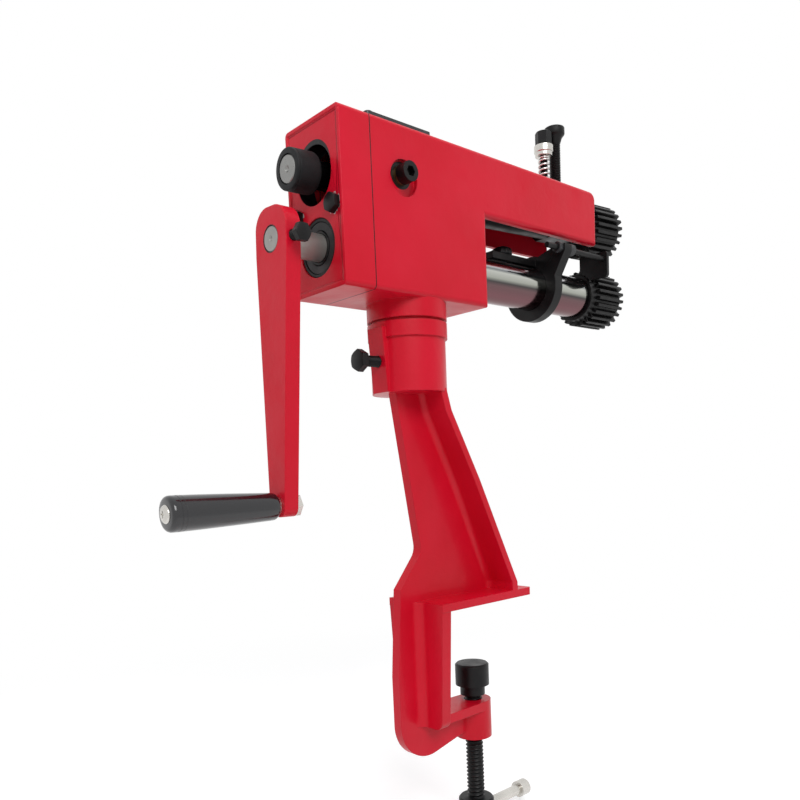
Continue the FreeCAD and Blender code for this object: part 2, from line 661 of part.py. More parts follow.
# Head: a casting of gear room, throat and hollow arm, on the post that swivels in the socket
def make_head():
    body = new_body("head_casting")
    side = polygon(sketch_on(body, "XZ"),
                   (SEAM, HEAD_BOTTOM), ("throat_face", HEAD_BOTTOM),
                   ("throat_face", HEAD_TOP + " - arm_height_rear"),
                   ("arm_front", HEAD_TOP + " - arm_height"),
                   ("arm_front", HEAD_TOP), (SEAM, HEAD_TOP))
    pad(body, side, "head_width", middle=True)
    half = size("head_width") / 2
    top = size("socket_top") + size("shoulder_height") + size("spigot_height") + size("head_height")
    front = size("arm_front")
    seam = size("cover_depth") - size("head_rear")
    round_edges(body, "arm_nose_radius",
                lambda edge: along(edge, "y") and near(edge.CenterOfMass.x, front)
                and near(edge.CenterOfMass.z, top))
    round_edges(body, "head_edge_radius",
                lambda edge: near(abs(edge.CenterOfMass.y), half) and not near(edge.CenterOfMass.x, seam))
    revolve(body, polygon(sketch_on(body, "XZ", aside="-post_depth"),
                          ("0", "socket_bottom + socket_floor + post_end_gap"),
                          ("post_radius", "socket_bottom + socket_floor + post_end_gap"),
                          ("post_radius", "socket_top"),
                          (SPIGOT_RADIUS + " - shoulder_inset", "socket_top"),
                          (SPIGOT_RADIUS + " - shoulder_inset", "socket_top + shoulder_height"),
                          (SPIGOT_RADIUS, "socket_top + shoulder_height"),
                          (SPIGOT_RADIUS, HEAD_BOTTOM + " + overrun"),
                          ("0", HEAD_BOTTOM + " + overrun")), "V_Axis")
    gears = polygon(sketch_on(body, "XY", HEAD_BOTTOM + " + thin_wall"),
                    (SEAM, "-head_width / 2 + thin_wall"), (GEAR_ROOM_END, "-head_width / 2 + thin_wall"),
                    (GEAR_ROOM_END, "head_width / 2 - thin_wall"), (SEAM, "head_width / 2 - thin_wall"))
    pocket(body, gears, "head_height - thin_wall * 2")
    chamber = polygon(sketch_on(body, "XY", HEAD_BOTTOM + " + chamber_floor"),
                      (GEAR_ROOM_END + " - overrun", "-" + INNER_WALL),
                      ("throat_face - throat_wall", "-" + INNER_WALL),
                      ("throat_face - throat_wall", INNER_WALL), (GEAR_ROOM_END + " - overrun", INNER_WALL))
    pocket(body, chamber, "head_height - chamber_floor - thick_wall")
    arm = polygon(sketch_on(body, "XY", HEAD_TOP + " - arm_height_rear - swing_slot_drop"),
                  ("throat_face - throat_wall - overrun", "-" + INNER_WALL),
                  ("arm_front + overrun", "-" + INNER_WALL),
                  ("arm_front + overrun", INNER_WALL),
                  ("throat_face - throat_wall - overrun", INNER_WALL))
    pocket(body, arm, "arm_height_rear + swing_slot_drop - thick_wall")
    for sign in ("", "-"):
        boss = circle(sketch_on(body, "YZ", SEAM), sign + "cover_bolt_spread / 2",
                      HEAD_TOP + " - cover_bolt_drop", "cover_boss_radius")
        pad(body, boss, GEAR_ROOM_DEPTH)
        low = HEAD_TOP + " - cover_bolt_drop - cover_boss_radius"
        high = HEAD_TOP + " - cover_bolt_drop + cover_boss_radius"
        rib = polygon(sketch_on(body, "YZ", SEAM),
                      (sign + "cover_bolt_spread / 2", low), (sign + "(head_width / 2 - overrun)", low),
                      (sign + "(head_width / 2 - overrun)", high), (sign + "cover_bolt_spread / 2", high))
        pad(body, rib, GEAR_ROOM_DEPTH)
        hole = circle(sketch_on(body, "YZ", SEAM), sign + "cover_bolt_spread / 2",
                      HEAD_TOP + " - cover_bolt_drop", "cover_bolt_radius")
        pocket(body, hole, "cover_bolt_length - cover_depth + overrun * 2")
    throat = sketch_on(body, "YZ", "throat_face - throat_wall - overrun")
    pocket(body, circle(throat, "0", LOWER_Z, "tube_radius"), "throat_wall + overrun * 2")
    window = polygon(sketch_on(body, "XY", HEAD_TOP + " - thick_wall - overrun"),
                     (SEAM + " + window_margin", "-plate_width / 2 + window_margin"),
                     (SEAM + " + plate_length - window_margin", "-plate_width / 2 + window_margin"),
                     (SEAM + " + plate_length - window_margin", "plate_width / 2 - window_margin"),
                     (SEAM + " + window_margin", "plate_width / 2 - window_margin"))
    pocket(body, window, "thick_wall + overrun * 2")
    for sign in ("", "-"):
        screw = circle(sketch_on(body, "XY", HEAD_TOP + " - thin_wall - overrun"),
                       SEAM + " + plate_gap + plate_screw_margin",
                       sign + "(plate_width / 2 - plate_screw_margin)", "plate_screw_radius")
        pocket(body, screw, "thin_wall + overrun * 2")
    pocket(body, circle(sketch_on(body, "XZ"), "-pivot_depth", PIVOT_Z, "pivot_bush_radius"),
           "head_width + overrun * 2", middle=True)
    for start in ("head_width / 2 - side_hole_depth", "-head_width / 2 - overrun"):
        pocket(body, circle(sketch_on(body, "XZ", start), "-pivot_depth", PIVOT_Z + " - side_hole_drop",
                            "side_hole_radius"), "side_hole_depth + overrun")
    pocket(body, circle(sketch_on(body, "XY", CEILING + " - overrun"), "pressure_screw_place", "0",
                        "pressure_screw_radius + running_gap"), "thick_wall + overrun * 2")
    pocket(body, circle(sketch_on(body, "XY", CEILING + " - overrun"), "spring_bolt_place", "0",
                        "spring_bolt_radius + spring_bolt_gap"), "thick_wall + overrun * 2")


def make_rear_cover():
    body = new_body("rear_cover", "-head_rear")
    box = polygon(sketch_on(body, "YZ"),
                  ("-head_width / 2", HEAD_BOTTOM), ("head_width / 2", HEAD_BOTTOM),
                  ("head_width / 2", HEAD_TOP), ("-head_width / 2", HEAD_TOP))
    pad(body, box, "cover_depth")
    round_edges(body, "head_edge_radius", lambda edge: along(edge, "x"))
    inset = polygon(sketch_on(body, "YZ"),
                    ("-head_width / 2 + rim_width", HEAD_BOTTOM + " + rim_width"),
                    ("head_width / 2 - rim_width", HEAD_BOTTOM + " + rim_width"),
                    ("head_width / 2 - rim_width", HEAD_TOP + " - rim_width"),
                    ("-head_width / 2 + rim_width", HEAD_TOP + " - rim_width"))
    pocket(body, inset, "rim_depth")
    room = polygon(sketch_on(body, "YZ", "cover_end_wall"),
                   ("-head_width / 2 + thin_wall", HEAD_BOTTOM + " + thin_wall"),
                   ("head_width / 2 - thin_wall", HEAD_BOTTOM + " + thin_wall"),
                   ("head_width / 2 - thin_wall", HEAD_TOP + " - thin_wall"),
                   ("-head_width / 2 + thin_wall", HEAD_TOP + " - thin_wall"))
    pocket(body, room, "cover_depth - cover_end_wall")
    for sign in ("", "-"):
        boss = circle(sketch_on(body, "YZ", "cover_end_wall - overrun"), sign + "cover_bolt_spread / 2",
                      HEAD_TOP + " - cover_bolt_drop", "cover_boss_radius")
        pad(body, boss, "cover_depth - cover_end_wall + overrun")
        hole = circle(sketch_on(body, "YZ"), sign + "cover_bolt_spread / 2", HEAD_TOP + " - cover_bolt_drop",
                      "cover_bolt_radius")
        pocket(body, hole, "cover_depth")
    pocket(body, circle(sketch_on(body, "YZ"), "0", LOWER_Z, "bearing_radius"),
           "bearing_inset + bearing_width")
    pocket(body, circle(sketch_on(body, "YZ"), "0", LOWER_Z, "bearing_radius - bearing_lip"), "cover_depth")
    pocket(body, circle(sketch_on(body, "YZ"), "0", PIVOT_Z + " - rear_slot_drop", "rear_slot_radius"),
           "cover_depth")


def make_cover_bolts():
    body = new_body("cover_bolts", "-head_rear", "0", HEAD_TOP + " - cover_bolt_drop")
    body.AllowCompound = True
    shanks = sketch_on(body, "YZ", "rim_depth")
    heads = sketch_on(body, "YZ", "rim_depth - cover_head_height")
    for sign in ("", "-"):
        circle(shanks, sign + "cover_bolt_spread / 2", "0", "cover_bolt_radius")
        hexagon(heads, sign + "cover_bolt_spread / 2", "0", "cover_head_width")
    pad(body, heads, "cover_head_height")
    pad(body, shanks, "cover_bolt_length")


def make_inspection_plate():
    plate = new_body("inspection_plate", SEAM + " + plate_gap", "0", HEAD_TOP)
    pad(plate, polygon(sketch_on(plate, "XY"),
                       ("0", "-plate_width / 2"), ("plate_length", "-plate_width / 2"),
                       ("plate_length", "plate_width / 2"), ("0", "plate_width / 2")), "plate_thickness")
    round_edges(plate, "plate_corner_radius", lambda edge: along(edge, "z"))
    holes = sketch_on(plate, "XY")
    screws = new_body("plate_screws", SEAM + " + plate_gap", "0", HEAD_TOP + " + plate_thickness")
    screws.AllowCompound = True
    heads = sketch_on(screws, "XY")
    shanks = sketch_on(screws, "XY", "-plate_thickness - thin_wall")
    for sign in ("", "-"):
        side = sign + "(plate_width / 2 - plate_screw_margin)"
        circle(holes, "plate_screw_margin", side, "plate_screw_radius")
        circle(shanks, "plate_screw_margin", side, "plate_screw_radius")
        circle(heads, "plate_screw_margin", side, "plate_screw_head_radius")
    pocket(plate, holes, "plate_thickness")
    pad(screws, shanks, "plate_thickness + thin_wall")
    pad(screws, heads, "plate_screw_head_height")


def make_pivot_screws():
    """Two socket head screws, whose plain ends carry the upper shaft's sleeve."""
    body = new_body("pivot_screws", "-pivot_depth", "0", PIVOT_Z)
    body.AllowCompound = True
    seat = "(head_width / 2 - side_hole_depth + pivot_bush_proud)"
    reach = "(%s - %s + pivot_screw_depth)" % (seat, INNER_WALL)
    outer = "-%s - pivot_head_height" % seat
    starts = ((seat, seat + " - " + reach, seat + " + pivot_head_height - pivot_socket_depth"),
              (outer, "-" + seat, outer))
    for head, shank, socket in starts:
        pad(body, circle(sketch_on(body, "XZ", head), "0", "0", "pivot_head_radius"), "pivot_head_height")
        pad(body, circle(sketch_on(body, "XZ", shank), "0", "0", "pivot_screw_radius"), reach)
        pocket(body, hexagon(sketch_on(body, "XZ", socket), "0", "0", "pivot_socket_width"),
               "pivot_socket_depth")
    bushes = new_body("trunnion_bushes", "-pivot_depth", "0", PIVOT_Z)
    bushes.AllowCompound = True
    for start in (INNER_WALL, "-" + seat):
        bush = circle(sketch_on(bushes, "XZ", start), "0", "0", "pivot_bush_radius")
        circle(bush, "0", "0", "pivot_screw_radius")
        pad(bushes, bush, "%s - %s" % (seat, INNER_WALL))


# Carrier: the sleeve that holds the upper shaft and swings on the side screws
def make_carrier():
    body = on_carrier("carrier_sleeve")
    revolve(body, polygon(sketch_on(body, "XZ"),
                          ("-sleeve_rear", "0"), (SLEEVE_FRONT, "0"), (SLEEVE_FRONT, "sleeve_radius"),
                          ("-sleeve_rear", "sleeve_radius")))
    pad(body, circle(sketch_on(body, "XZ"), "0", "0", "trunnion_radius"),
        "(%s - trunnion_gap) * 2" % INNER_WALL, middle=True)
    block = polygon(sketch_on(body, "YZ", SLEEVE_FRONT + " - nose_block_length"),
                    ("-nose_block_width / 2", "-sleeve_radius"), ("nose_block_width / 2", "-sleeve_radius"),
                    ("nose_block_width / 2", "sleeve_radius"), ("-nose_block_width / 2", "sleeve_radius"))
    pad(body, block, "nose_block_length")
    half = size("nose_block_width") / 2
    round_edges(body, "nose_block_chamfer", lambda edge: along(edge, "x")
                and near(abs(edge.CenterOfMass.y), half), "Chamfer")
    pocket(body, circle(sketch_on(body, "YZ", "-sleeve_rear - overrun"), "0", "0", "sleeve_bore_radius"),
           "sleeve_rear + overrun * 2 + " + SLEEVE_FRONT)
    for start in (INNER_WALL + " - trunnion_gap - pivot_screw_depth", "-" + INNER_WALL + " + trunnion_gap"):
        pocket(body, circle(sketch_on(body, "XZ", start), "0", "0", "pivot_screw_radius + running_gap"),
               "pivot_screw_depth")
    bolt_hole = sketch_on(body, "XY", "sleeve_bore_radius - overrun")
    pocket(body, circle(bolt_hole, "spring_bolt_place + pivot_depth", "0", "spring_bolt_hole_radius"),
           "sleeve_radius")
    for name, start in (("carrier_rear_bush", "-sleeve_rear"),
                        ("carrier_front_bush", SLEEVE_FRONT + " - bush_length")):
        ring(name, on_carrier, start, "bush_length", "sleeve_bore_radius", "shaft_radius + running_gap")


# Gears: two equal spur gears inside the head, meshed just in front of the rear cover
def involute(radius, base_radius):
    """The involute's polar angle at a radius, 0 up to the base circle."""
    if radius <= base_radius:
        return 0.0
    roll = math.sqrt((radius / base_radius) ** 2 - 1)
    return roll - math.atan(roll)


def add_gear(name, start, base, phase):
    """A gear along the shaft from a start, its keyway up and its teeth turned by a phase."""
    teeth = int(size("gear_teeth"))
    module = size("gear_module")
    pitch = module * teeth / 2
    base_radius = pitch * math.cos(math.radians(size("gear_pressure_angle")))
    tip = pitch + size("gear_addendum") * module
    root = pitch - size("gear_dedendum") * module
    width = size("gear_width")
    half_tooth = math.pi / 2 / teeth - size("gear_backlash") / 4 / pitch + involute(pitch, base_radius)

    def point(radius, angle):
        return Vector(0, radius * math.sin(angle), radius * math.cos(angle))

    radii = [root + (tip - root) * part / FLANK_STEPS for part in range(FLANK_STEPS + 1)]
    edges = []
    for tooth in range(teeth):
        middle = 2 * math.pi * tooth / teeth + phase
        rise = [point(radius, middle - half_tooth + involute(radius, base_radius)) for radius in radii]
        fall = [point(radius, middle + half_tooth - involute(radius, base_radius)) for radius in radii[::-1]]
        following = point(root, middle + 2 * math.pi / teeth - half_tooth)
        edges += [Part.makeLine(rise[part], rise[part + 1]) for part in range(FLANK_STEPS)]
        edges.append(Part.Arc(rise[-1], point(tip, middle), fall[0]).toShape())
        edges += [Part.makeLine(fall[part], fall[part + 1]) for part in range(FLANK_STEPS)]
        edges.append(Part.Arc(fall[-1], point(root, middle + math.pi / teeth), following).toShape())
    gear = Part.Face(Part.Wire(edges)).extrude(Vector(width, 0, 0))
    recess = size("gear_web_recess")
    web = Part.makeCylinder(size("gear_web_radius"), recess, Vector(0, 0, 0), Vector(1, 0, 0))
    hub = Part.makeCylinder(size("gear_hub_radius"), recess, Vector(0, 0, 0), Vector(1, 0, 0))
    gear = gear.cut(web.cut(hub))
    gear = gear.cut(Part.makeCylinder(size("shaft_radius"), width, Vector(0, 0, 0), Vector(1, 0, 0)))
    key = size("key_width")
    key_top = size("shaft_radius") + size("key_height") / 2
    gear = gear.cut(Part.makeBox(width, key, key_top, Vector(0, -key / 2, 0)))
    feature = keep(doc.addObject("Part::Feature", name), name)
    feature.Shape = gear
    feature.Placement = base.multiply(Placement(Vector(start, 0, 0), Rotation()))


def add_key(body, start, length):
    """A parallel key half sunk in the shaft at its top."""
    pad(body, key_outline(body, start), length)


def key_outline(body, start):
    return polygon(sketch_on(body, "YZ", start), ("-key_width / 2", "shaft_radius - key_height / 2"),
                   ("key_width / 2", "shaft_radius - key_height / 2"),
                   ("key_width / 2", "shaft_radius + key_height / 2"),
                   ("-key_width / 2", "shaft_radius + key_height / 2"))


def make_roll(body, start, turn):
    """A toothed roll along X from a start: straight grooves all round and a recess in each face."""
    end = start + " + roll_length"
    revolve(body, polygon(sketch_on(body, "XZ"),
                          (start + " + roll_recess_depth", "shaft_radius"),
                          (start + " + roll_recess_depth", "roll_recess_radius"),
                          (start, "roll_recess_radius"), (start, "roll_radius"),
                          (end, "roll_radius"), (end, "roll_recess_radius"),
                          (end + " - roll_recess_depth", "roll_recess_radius"),
                          (end + " - roll_recess_depth", "shaft_radius")))
    pocket(body, key_outline(body, start), "roll_length")
    sketch = polygon(sketch_on(body, "YZ", start, turn=turn),
                     ("-roll_gap_inner / 2", "roll_radius - roll_tooth_depth"),
                     ("roll_gap_inner / 2", "roll_radius - roll_tooth_depth"),
                     ("roll_gap_outer / 2", "roll_radius + roll_gap_overrun"),
                     ("-roll_gap_outer / 2", "roll_radius + roll_gap_overrun"))
    groove_cut = pocket(body, sketch, "roll_length")
    doc.recompute()
    pattern = body.newObject("PartDesign::PolarPattern", body.Name + "_teeth")
    pattern.Originals = [groove_cut]
    pattern.Axis = (body.Origin.OriginFeatures[0], [""])
    pattern.Angle = 360
    bind(pattern, "Occurrences", "roll_teeth")
    body.Tip = pattern


def make_shaft(body, rear, front, crank_seat):
    """A ground shaft along X, turned down at its rear where the crank sits on it."""
    start = "-crank_rear" if crank_seat else rear
    if crank_seat:
        profile = [(start, "0"), (start, "crank_seat_radius - crank_seat_chamfer"),
                   (start + " + crank_seat_chamfer", "crank_seat_radius"),
                   (CRANK_FRONT, "crank_seat_radius"), (CRANK_FRONT, "shaft_radius")]
    else:
        profile = [(start, "0"), (start, "shaft_radius")]
    profile += [(front, "shaft_radius"), (front, "0")]
    revolve(body, polygon(sketch_on(body, "XZ"), *profile))


def make_shafts():
    """Both shaft lines: shaft, keys, spacer ring, roll and its nut, and the gears."""
    lines = (("lower", on_lower_axis, "0", "spacer_radius", "0"),
             ("upper", on_carrier, "pivot_depth", "upper_spacer_radius", "180 / roll_teeth"))
    for line, make_body, shift, spacer, turn in lines:
        shaft = make_body(line + "_shaft")
        gear_start = "(%s - pivot_depth - gear_setback - gear_width)" % shift
        roll_start = "(roll_start + %s)" % shift
        make_shaft(shaft, "-collar_knob_rear", "(shaft_front + %s)" % shift, line == "lower")
        for place, length in ((gear_start, "gear_width"), (roll_start + " + roll_recess_depth",
                                                            "roll_length - roll_recess_depth * 2")):
            pocket(shaft, key_outline(shaft, place), length)
        add_key(make_body(line + "_gear_key"), gear_start, "gear_width")
        add_key(make_body(line + "_roll_key"), roll_start + " + roll_recess_depth",
                "roll_length - roll_recess_depth * 2")
        ring(line + "_spacer_ring", make_body, roll_start + " - spacer_length", "spacer_length", spacer,
             "shaft_radius")
        make_roll(make_body(line + "_roll"), roll_start, turn)
        nut = make_body(line + "_roll_nut")
        nut_start = roll_start + " + roll_length - roll_recess_depth"
        pad(nut, hexagon(sketch_on(nut, "YZ", nut_start), "0", "0", "roll_nut_width"), "roll_nut_length")
        pocket(nut, circle(sketch_on(nut, "YZ", nut_start), "0", "0", "shaft_radius"), "roll_nut_length")
    rear = size("gear_setback") + size("gear_width")
    pivot = Vector(-size("pivot_depth"), 0, height_of_pivot())
    lower = Placement(Vector(-size("pivot_depth"), 0, height_of_pivot() - size("shaft_centres")), Rotation())
    upper = Placement(pivot, Rotation(Vector(0, 1, 0), -size("rest_tilt")))
    add_gear("lower_gear", -rear, lower, 0.0)
    add_gear("upper_gear", -rear, upper, math.pi / size("gear_teeth"))
    ring("alignment_collar", on_carrier, "-collar_knob_rear", "collar_knob_length", "collar_knob_radius",
         "shaft_radius")


def height_of_pivot():
    parts = ("socket_top", "shoulder_height", "spigot_height", "lower_shaft_height", "shaft_centres")
    return sum(size(part) for part in parts)


# Crank: a tapered flat arm held by a set screw, and a grip that spins on its spindle
def make_crank():
    arm = on_crank("crank_arm")
    outline = polygon(sketch_on(arm, "YZ"),
                      ("-crank_head_width / 2", "crank_head_rise"),
                      ("crank_head_width / 2", "crank_head_rise"),
                      ("crank_head_width / 2", "-crank_head_rise / 2"),
                      ("crank_foot_width / 2", "-crank_length - crank_foot_drop"),
                      ("-crank_foot_width / 2", "-crank_length - crank_foot_drop"),
                      ("-crank_head_width / 2", "-crank_head_rise / 2"))
    pad(arm, outline, "crank_thickness")
    top = size("crank_head_rise")
    foot = size("crank_length") + size("crank_foot_drop")
    round_edges(arm, "crank_head_round", lambda edge: along(edge, "x") and near(edge.CenterOfMass.z, top))
    round_edges(arm, "crank_foot_round", lambda edge: along(edge, "x") and near(edge.CenterOfMass.z, -foot))
    pocket(arm, circle(sketch_on(arm, "YZ"), "0", "0", "crank_seat_radius"), "crank_thickness")
    pocket(arm, circle(sketch_on(arm, "YZ"), "0", "-crank_length", "spindle_radius"), "crank_thickness")
    hole = circle(sketch_on(arm, "XZ"), "crank_thickness / 2", "0", "set_screw_radius")
    pocket(arm, hole, "crank_head_width")

    screw = on_crank("crank_set_screw")
    head_start = "(crank_head_width / 2 + set_screw_stand_off)"
    shank = circle(sketch_on(screw, "XZ", "crank_seat_radius + tip_gap"), "crank_thickness / 2", "0",
                   "set_screw_radius")
    pad(screw, shank, head_start + " - crank_seat_radius - tip_gap")
    pad(screw, hexagon(sketch_on(screw, "XZ", head_start), "crank_thickness / 2", "0", "set_head_width"),
        "set_head_height")

    spindle = on_crank("grip_spindle")
    sketch = sketch_on(spindle, "XZ", up="-crank_length")
    end = "(-spindle_shoulder - grip_length)"
    revolve(spindle, polygon(sketch, (end + " - spindle_head_height", "0"),
                             (end + " - spindle_head_height", "spindle_head_flat_radius"),
                             (end + " - spindle_head_height / 2", "spindle_head_radius"),
                             (end, "spindle_head_radius"), (end, "spindle_radius"),
                             ("-spindle_shoulder", "spindle_radius"),
                             ("-spindle_shoulder", "spindle_shoulder_radius"),
                             ("0", "spindle_shoulder_radius"),
                             ("0", "spindle_radius"),
                             ("crank_thickness + spindle_nut_height + spindle_end_height", "spindle_radius"),
                             ("crank_thickness + spindle_nut_height + spindle_end_height", "0")))
    nut = on_crank("grip_nut")
    face = hexagon(sketch_on(nut, "YZ", "crank_thickness"), "0", "-crank_length", "spindle_nut_width")
    pad(nut, face, "spindle_nut_height")
    pocket(nut, circle(sketch_on(nut, "YZ", "crank_thickness"), "0", "-crank_length", "spindle_radius"),
           "spindle_nut_height")

    grip = on_crank("grip")
    bore = "(spindle_radius + running_gap)"
    revolve(grip, polygon(sketch_on(grip, "XZ", up="-crank_length"),
                          ("-spindle_shoulder", bore),
                          ("-spindle_shoulder", "grip_inner_radius - grip_inner_chamfer"),
                          ("-spindle_shoulder - grip_inner_chamfer", "grip_inner_radius"),
                          (end + " + grip_chamfer", "grip_outer_radius"),
                          (end, "grip_outer_radius - grip_chamfer"), (end, bore)))


# Screws on top of the arm
def make_top_screws():
    rise = "(pressure_screw_place + pivot_depth) * tan(rest_tilt)"
    block = "(%s + %s + sleeve_radius / cos(rest_tilt))" % (PIVOT_Z, rise)
    shoe = new_body("pressure_shoe", "pressure_screw_place", "0", block + " + shoe_gap")
    pad(shoe, circle(sketch_on(shoe, "XY"), "0", "0", "shoe_radius"), "shoe_height")
    screw = new_body("pressure_screw", "pressure_screw_place", "0", block + " + shoe_gap + shoe_height")
    top = "(%s + pressure_screw_top - %s - shoe_gap - shoe_height)" % (HEAD_TOP, block)
    revolve(screw, polygon(sketch_on(screw, "XZ"),
                           ("0", "0"), ("pressure_screw_radius", "0"),
                           ("pressure_screw_radius", top + " - pressure_head_height"),
                           ("pressure_head_radius - pressure_head_chamfer", top + " - pressure_head_height"),
                           ("pressure_head_radius", top + " - pressure_head_height + pressure_head_chamfer"),
                           ("pressure_head_radius", top + " - pressure_head_chamfer"),
                           ("pressure_head_radius - pressure_head_chamfer", top),
                           ("0", top)), "V_Axis")

    x = "spring_bolt_place"
    seat = new_body("spring_seat_washer", x, "0", HEAD_TOP)
    sketch = circle(sketch_on(seat, "XY"), "0", "0", "spring_seat_radius")
    pad(seat, circle(sketch, "0", "0", "spring_bolt_radius + spring_bolt_gap"), "spring_seat_height")
    rest = "(%s + spring_seat_height + spring_length)" % HEAD_TOP
    washers = new_body("spring_bolt_washers", x, "0", rest)
    revolve(washers, polygon(sketch_on(washers, "XZ"),
                             ("spring_bolt_radius", "0"), ("small_washer_radius", "0"),
                             ("small_washer_radius", "small_washer_height"),
                             ("large_washer_radius", "small_washer_height"),
                             ("large_washer_radius", "small_washer_height + large_washer_height"),
                             ("spring_bolt_radius", "small_washer_height + large_washer_height")), "V_Axis")
    bolt = new_body("spring_bolt", x, "0", rest + " + small_washer_height + large_washer_height")
    pad(bolt, hexagon(sketch_on(bolt, "XY"), "0", "0", "spring_head_width"), "spring_head_height")
    length = "(%s + small_washer_height + large_washer_height - %s + spring_bolt_reach)" % (rest, CEILING)
    pad(bolt, circle(sketch_on(bolt, "XY", "-" + length), "0", "0", "spring_bolt_radius"), length)
    spring = new_body("spring", x, "0", "%s + spring_seat_height" % HEAD_TOP)
    coils = circle(sketch_on(spring, "XY"), "0", "0", "spring_radius")
    pad(spring, circle(coils, "0", "0", "spring_radius - spring_wire_radius * 2"), "spring_length")


# Gauge: a split bracket clamped on the tube, with a fence on a rod beside the lower roll
def make_gauge():
    side = "rod_side"
    rise = "rod_rise"
    body = on_lower_axis("gauge_bracket")
    pad(body, circle(sketch_on(body, "YZ", "gauge_start"), "0", "0", "gauge_ring_radius"), "gauge_thickness")
    arm = polygon(sketch_on(body, "YZ", "gauge_start"),
                  ("-gauge_ring_radius + rod_arm_side_inset", "0"),
                  ("-" + side + " - rod_eye_radius", rise + " - rod_eye_radius"),
                  ("-" + side + " - rod_eye_radius", rise), ("-" + side + " + rod_eye_radius", rise),
                  ("0", "gauge_ring_radius - rod_arm_top_inset"))
    pad(body, arm, "gauge_thickness")
    bottom = "tube_radius + tail_lift"
    tail = polygon(sketch_on(body, "XZ"),
                   ("gauge_start - tail_length", bottom), ("gauge_start + overrun", bottom),
                   ("gauge_start + overrun", bottom + " + tail_thickness"),
                   ("gauge_start - tail_length", bottom + " + tail_thickness"))
    pad(body, tail, "tail_width", middle=True)
    pocket(body, circle(sketch_on(body, "YZ", "gauge_start"), "0", "0", "tube_radius + running_gap"),
           "gauge_thickness")
    pocket(body, circle(sketch_on(body, "YZ", "gauge_start"), "-" + side, rise + " - rod_drop",
                        "rod_radius + running_gap"), "gauge_thickness")
    pocket(body, circle(sketch_on(body, "XY", bottom), "thumb_screw_place", "0", "thumb_screw_radius"),
           "tail_thickness")

    thumb = on_lower_axis("thumb_screw")
    sketch = sketch_on(thumb, "XZ", aside="thumb_screw_place")
    low = "(tube_radius + tail_lift)"
    high = "(tube_radius + tail_lift + tail_thickness)"
    revolve(thumb, polygon(sketch, ("0", low), ("thumb_screw_radius - thumb_screw_gap", low),
                           ("thumb_screw_radius - thumb_screw_gap", high), ("thumb_head_radius", high),
                           ("thumb_head_radius", high + " + thumb_head_height"),
                           ("0", high + " + thumb_head_height")), "V_Axis")

    nuts = on_lower_axis("gauge_nuts")
    nuts.AllowCompound = True
    rod_z = "(rod_rise - rod_drop)"
    rear = hexagon(sketch_on(nuts, "YZ", "gauge_start - rod_nut_height"), "-" + side, rod_z, "rod_nut_width")
    circle(rear, "-" + side, rod_z, "rod_radius + running_gap")
    pad(nuts, rear, "rod_nut_height")
    front = sketch_on(nuts, "YZ", "gauge_start + gauge_thickness")
    knob = circle(front, "-" + side, rod_z, "rod_knob_radius")
    circle(knob, "-" + side, rod_z, "rod_radius + running_gap")
    pad(nuts, knob, "rod_knob_length")

    rod = on_lower_axis("fence_rod")
    pad(rod, circle(sketch_on(rod, "YZ", "fence_start - rod_length"), "-" + side, rod_z, "rod_radius"),
        "rod_length")
    plate = on_lower_axis("fence_plate")
    pad(plate, polygon(sketch_on(plate, "YZ", "fence_start"),
                       ("-fence_outer", "fence_bottom"), ("-fence_inner", "fence_bottom"),
                       ("-fence_inner", "fence_top"), ("-fence_outer", "fence_top")), "fence_thickness")
    outer = size("fence_outer")
    round_edges(plate, "fence_corner_radius", lambda edge: along(edge, "x")
                and near(edge.CenterOfMass.y, -outer))
    pocket(plate, circle(sketch_on(plate, "YZ", "fence_start"), "0", "0", "fence_relief_radius"),
           "fence_thickness")


make_pedestal()
make_clamp()
make_lock_bolt()
make_head()
make_rear_cover()
make_cover_bolts()
make_inspection_plate()
make_pivot_screws()
ring("lower_tube", on_lower_axis, "throat_face - throat_wall", "tube_front - throat_face + throat_wall",
     "tube_radius", "tube_radius - tube_wall")
ring("lower_front_bush", on_lower_axis, "tube_front - bush_length", "bush_length",
     "tube_radius - tube_wall", "shaft_radius + running_gap")
ring("lower_rear_bearing", on_lower_axis, "-head_rear + bearing_inset", "bearing_width", "bearing_radius",
     "shaft_radius + running_gap")
make_carrier()
make_shafts()
make_crank()
make_top_screws()
make_gauge()

doc.recompute()
faults = [thing.Name for thing in doc.Objects if "Invalid" in thing.State or "Error" in thing.State]
for thing in nodes:
    if thing.Shape.isNull() or not thing.Shape.isValid() or not thing.Shape.Solids:
        faults.append(thing.Label)
if faults:
    raise RuntimeError("faulty objects: " + ", ".join(faults))
os.makedirs("parts", exist_ok=True)
for thing in nodes:
    thing.Shape.exportStep("parts/%s.step" % thing.Label)
    box = thing.Shape.BoundBox
    print("%-22s %9.0f mm3  solids %d  x %.1f %.1f  y %.1f %.1f  z %.1f %.1f" % (
        thing.Label, thing.Shape.Volume, len(thing.Shape.Solids), box.XMin, box.XMax, box.YMin, box.YMax,
        box.ZMin, box.ZMax))
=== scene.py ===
import json
import math
import bmesh
import bpy
from mathutils import Matrix, Vector


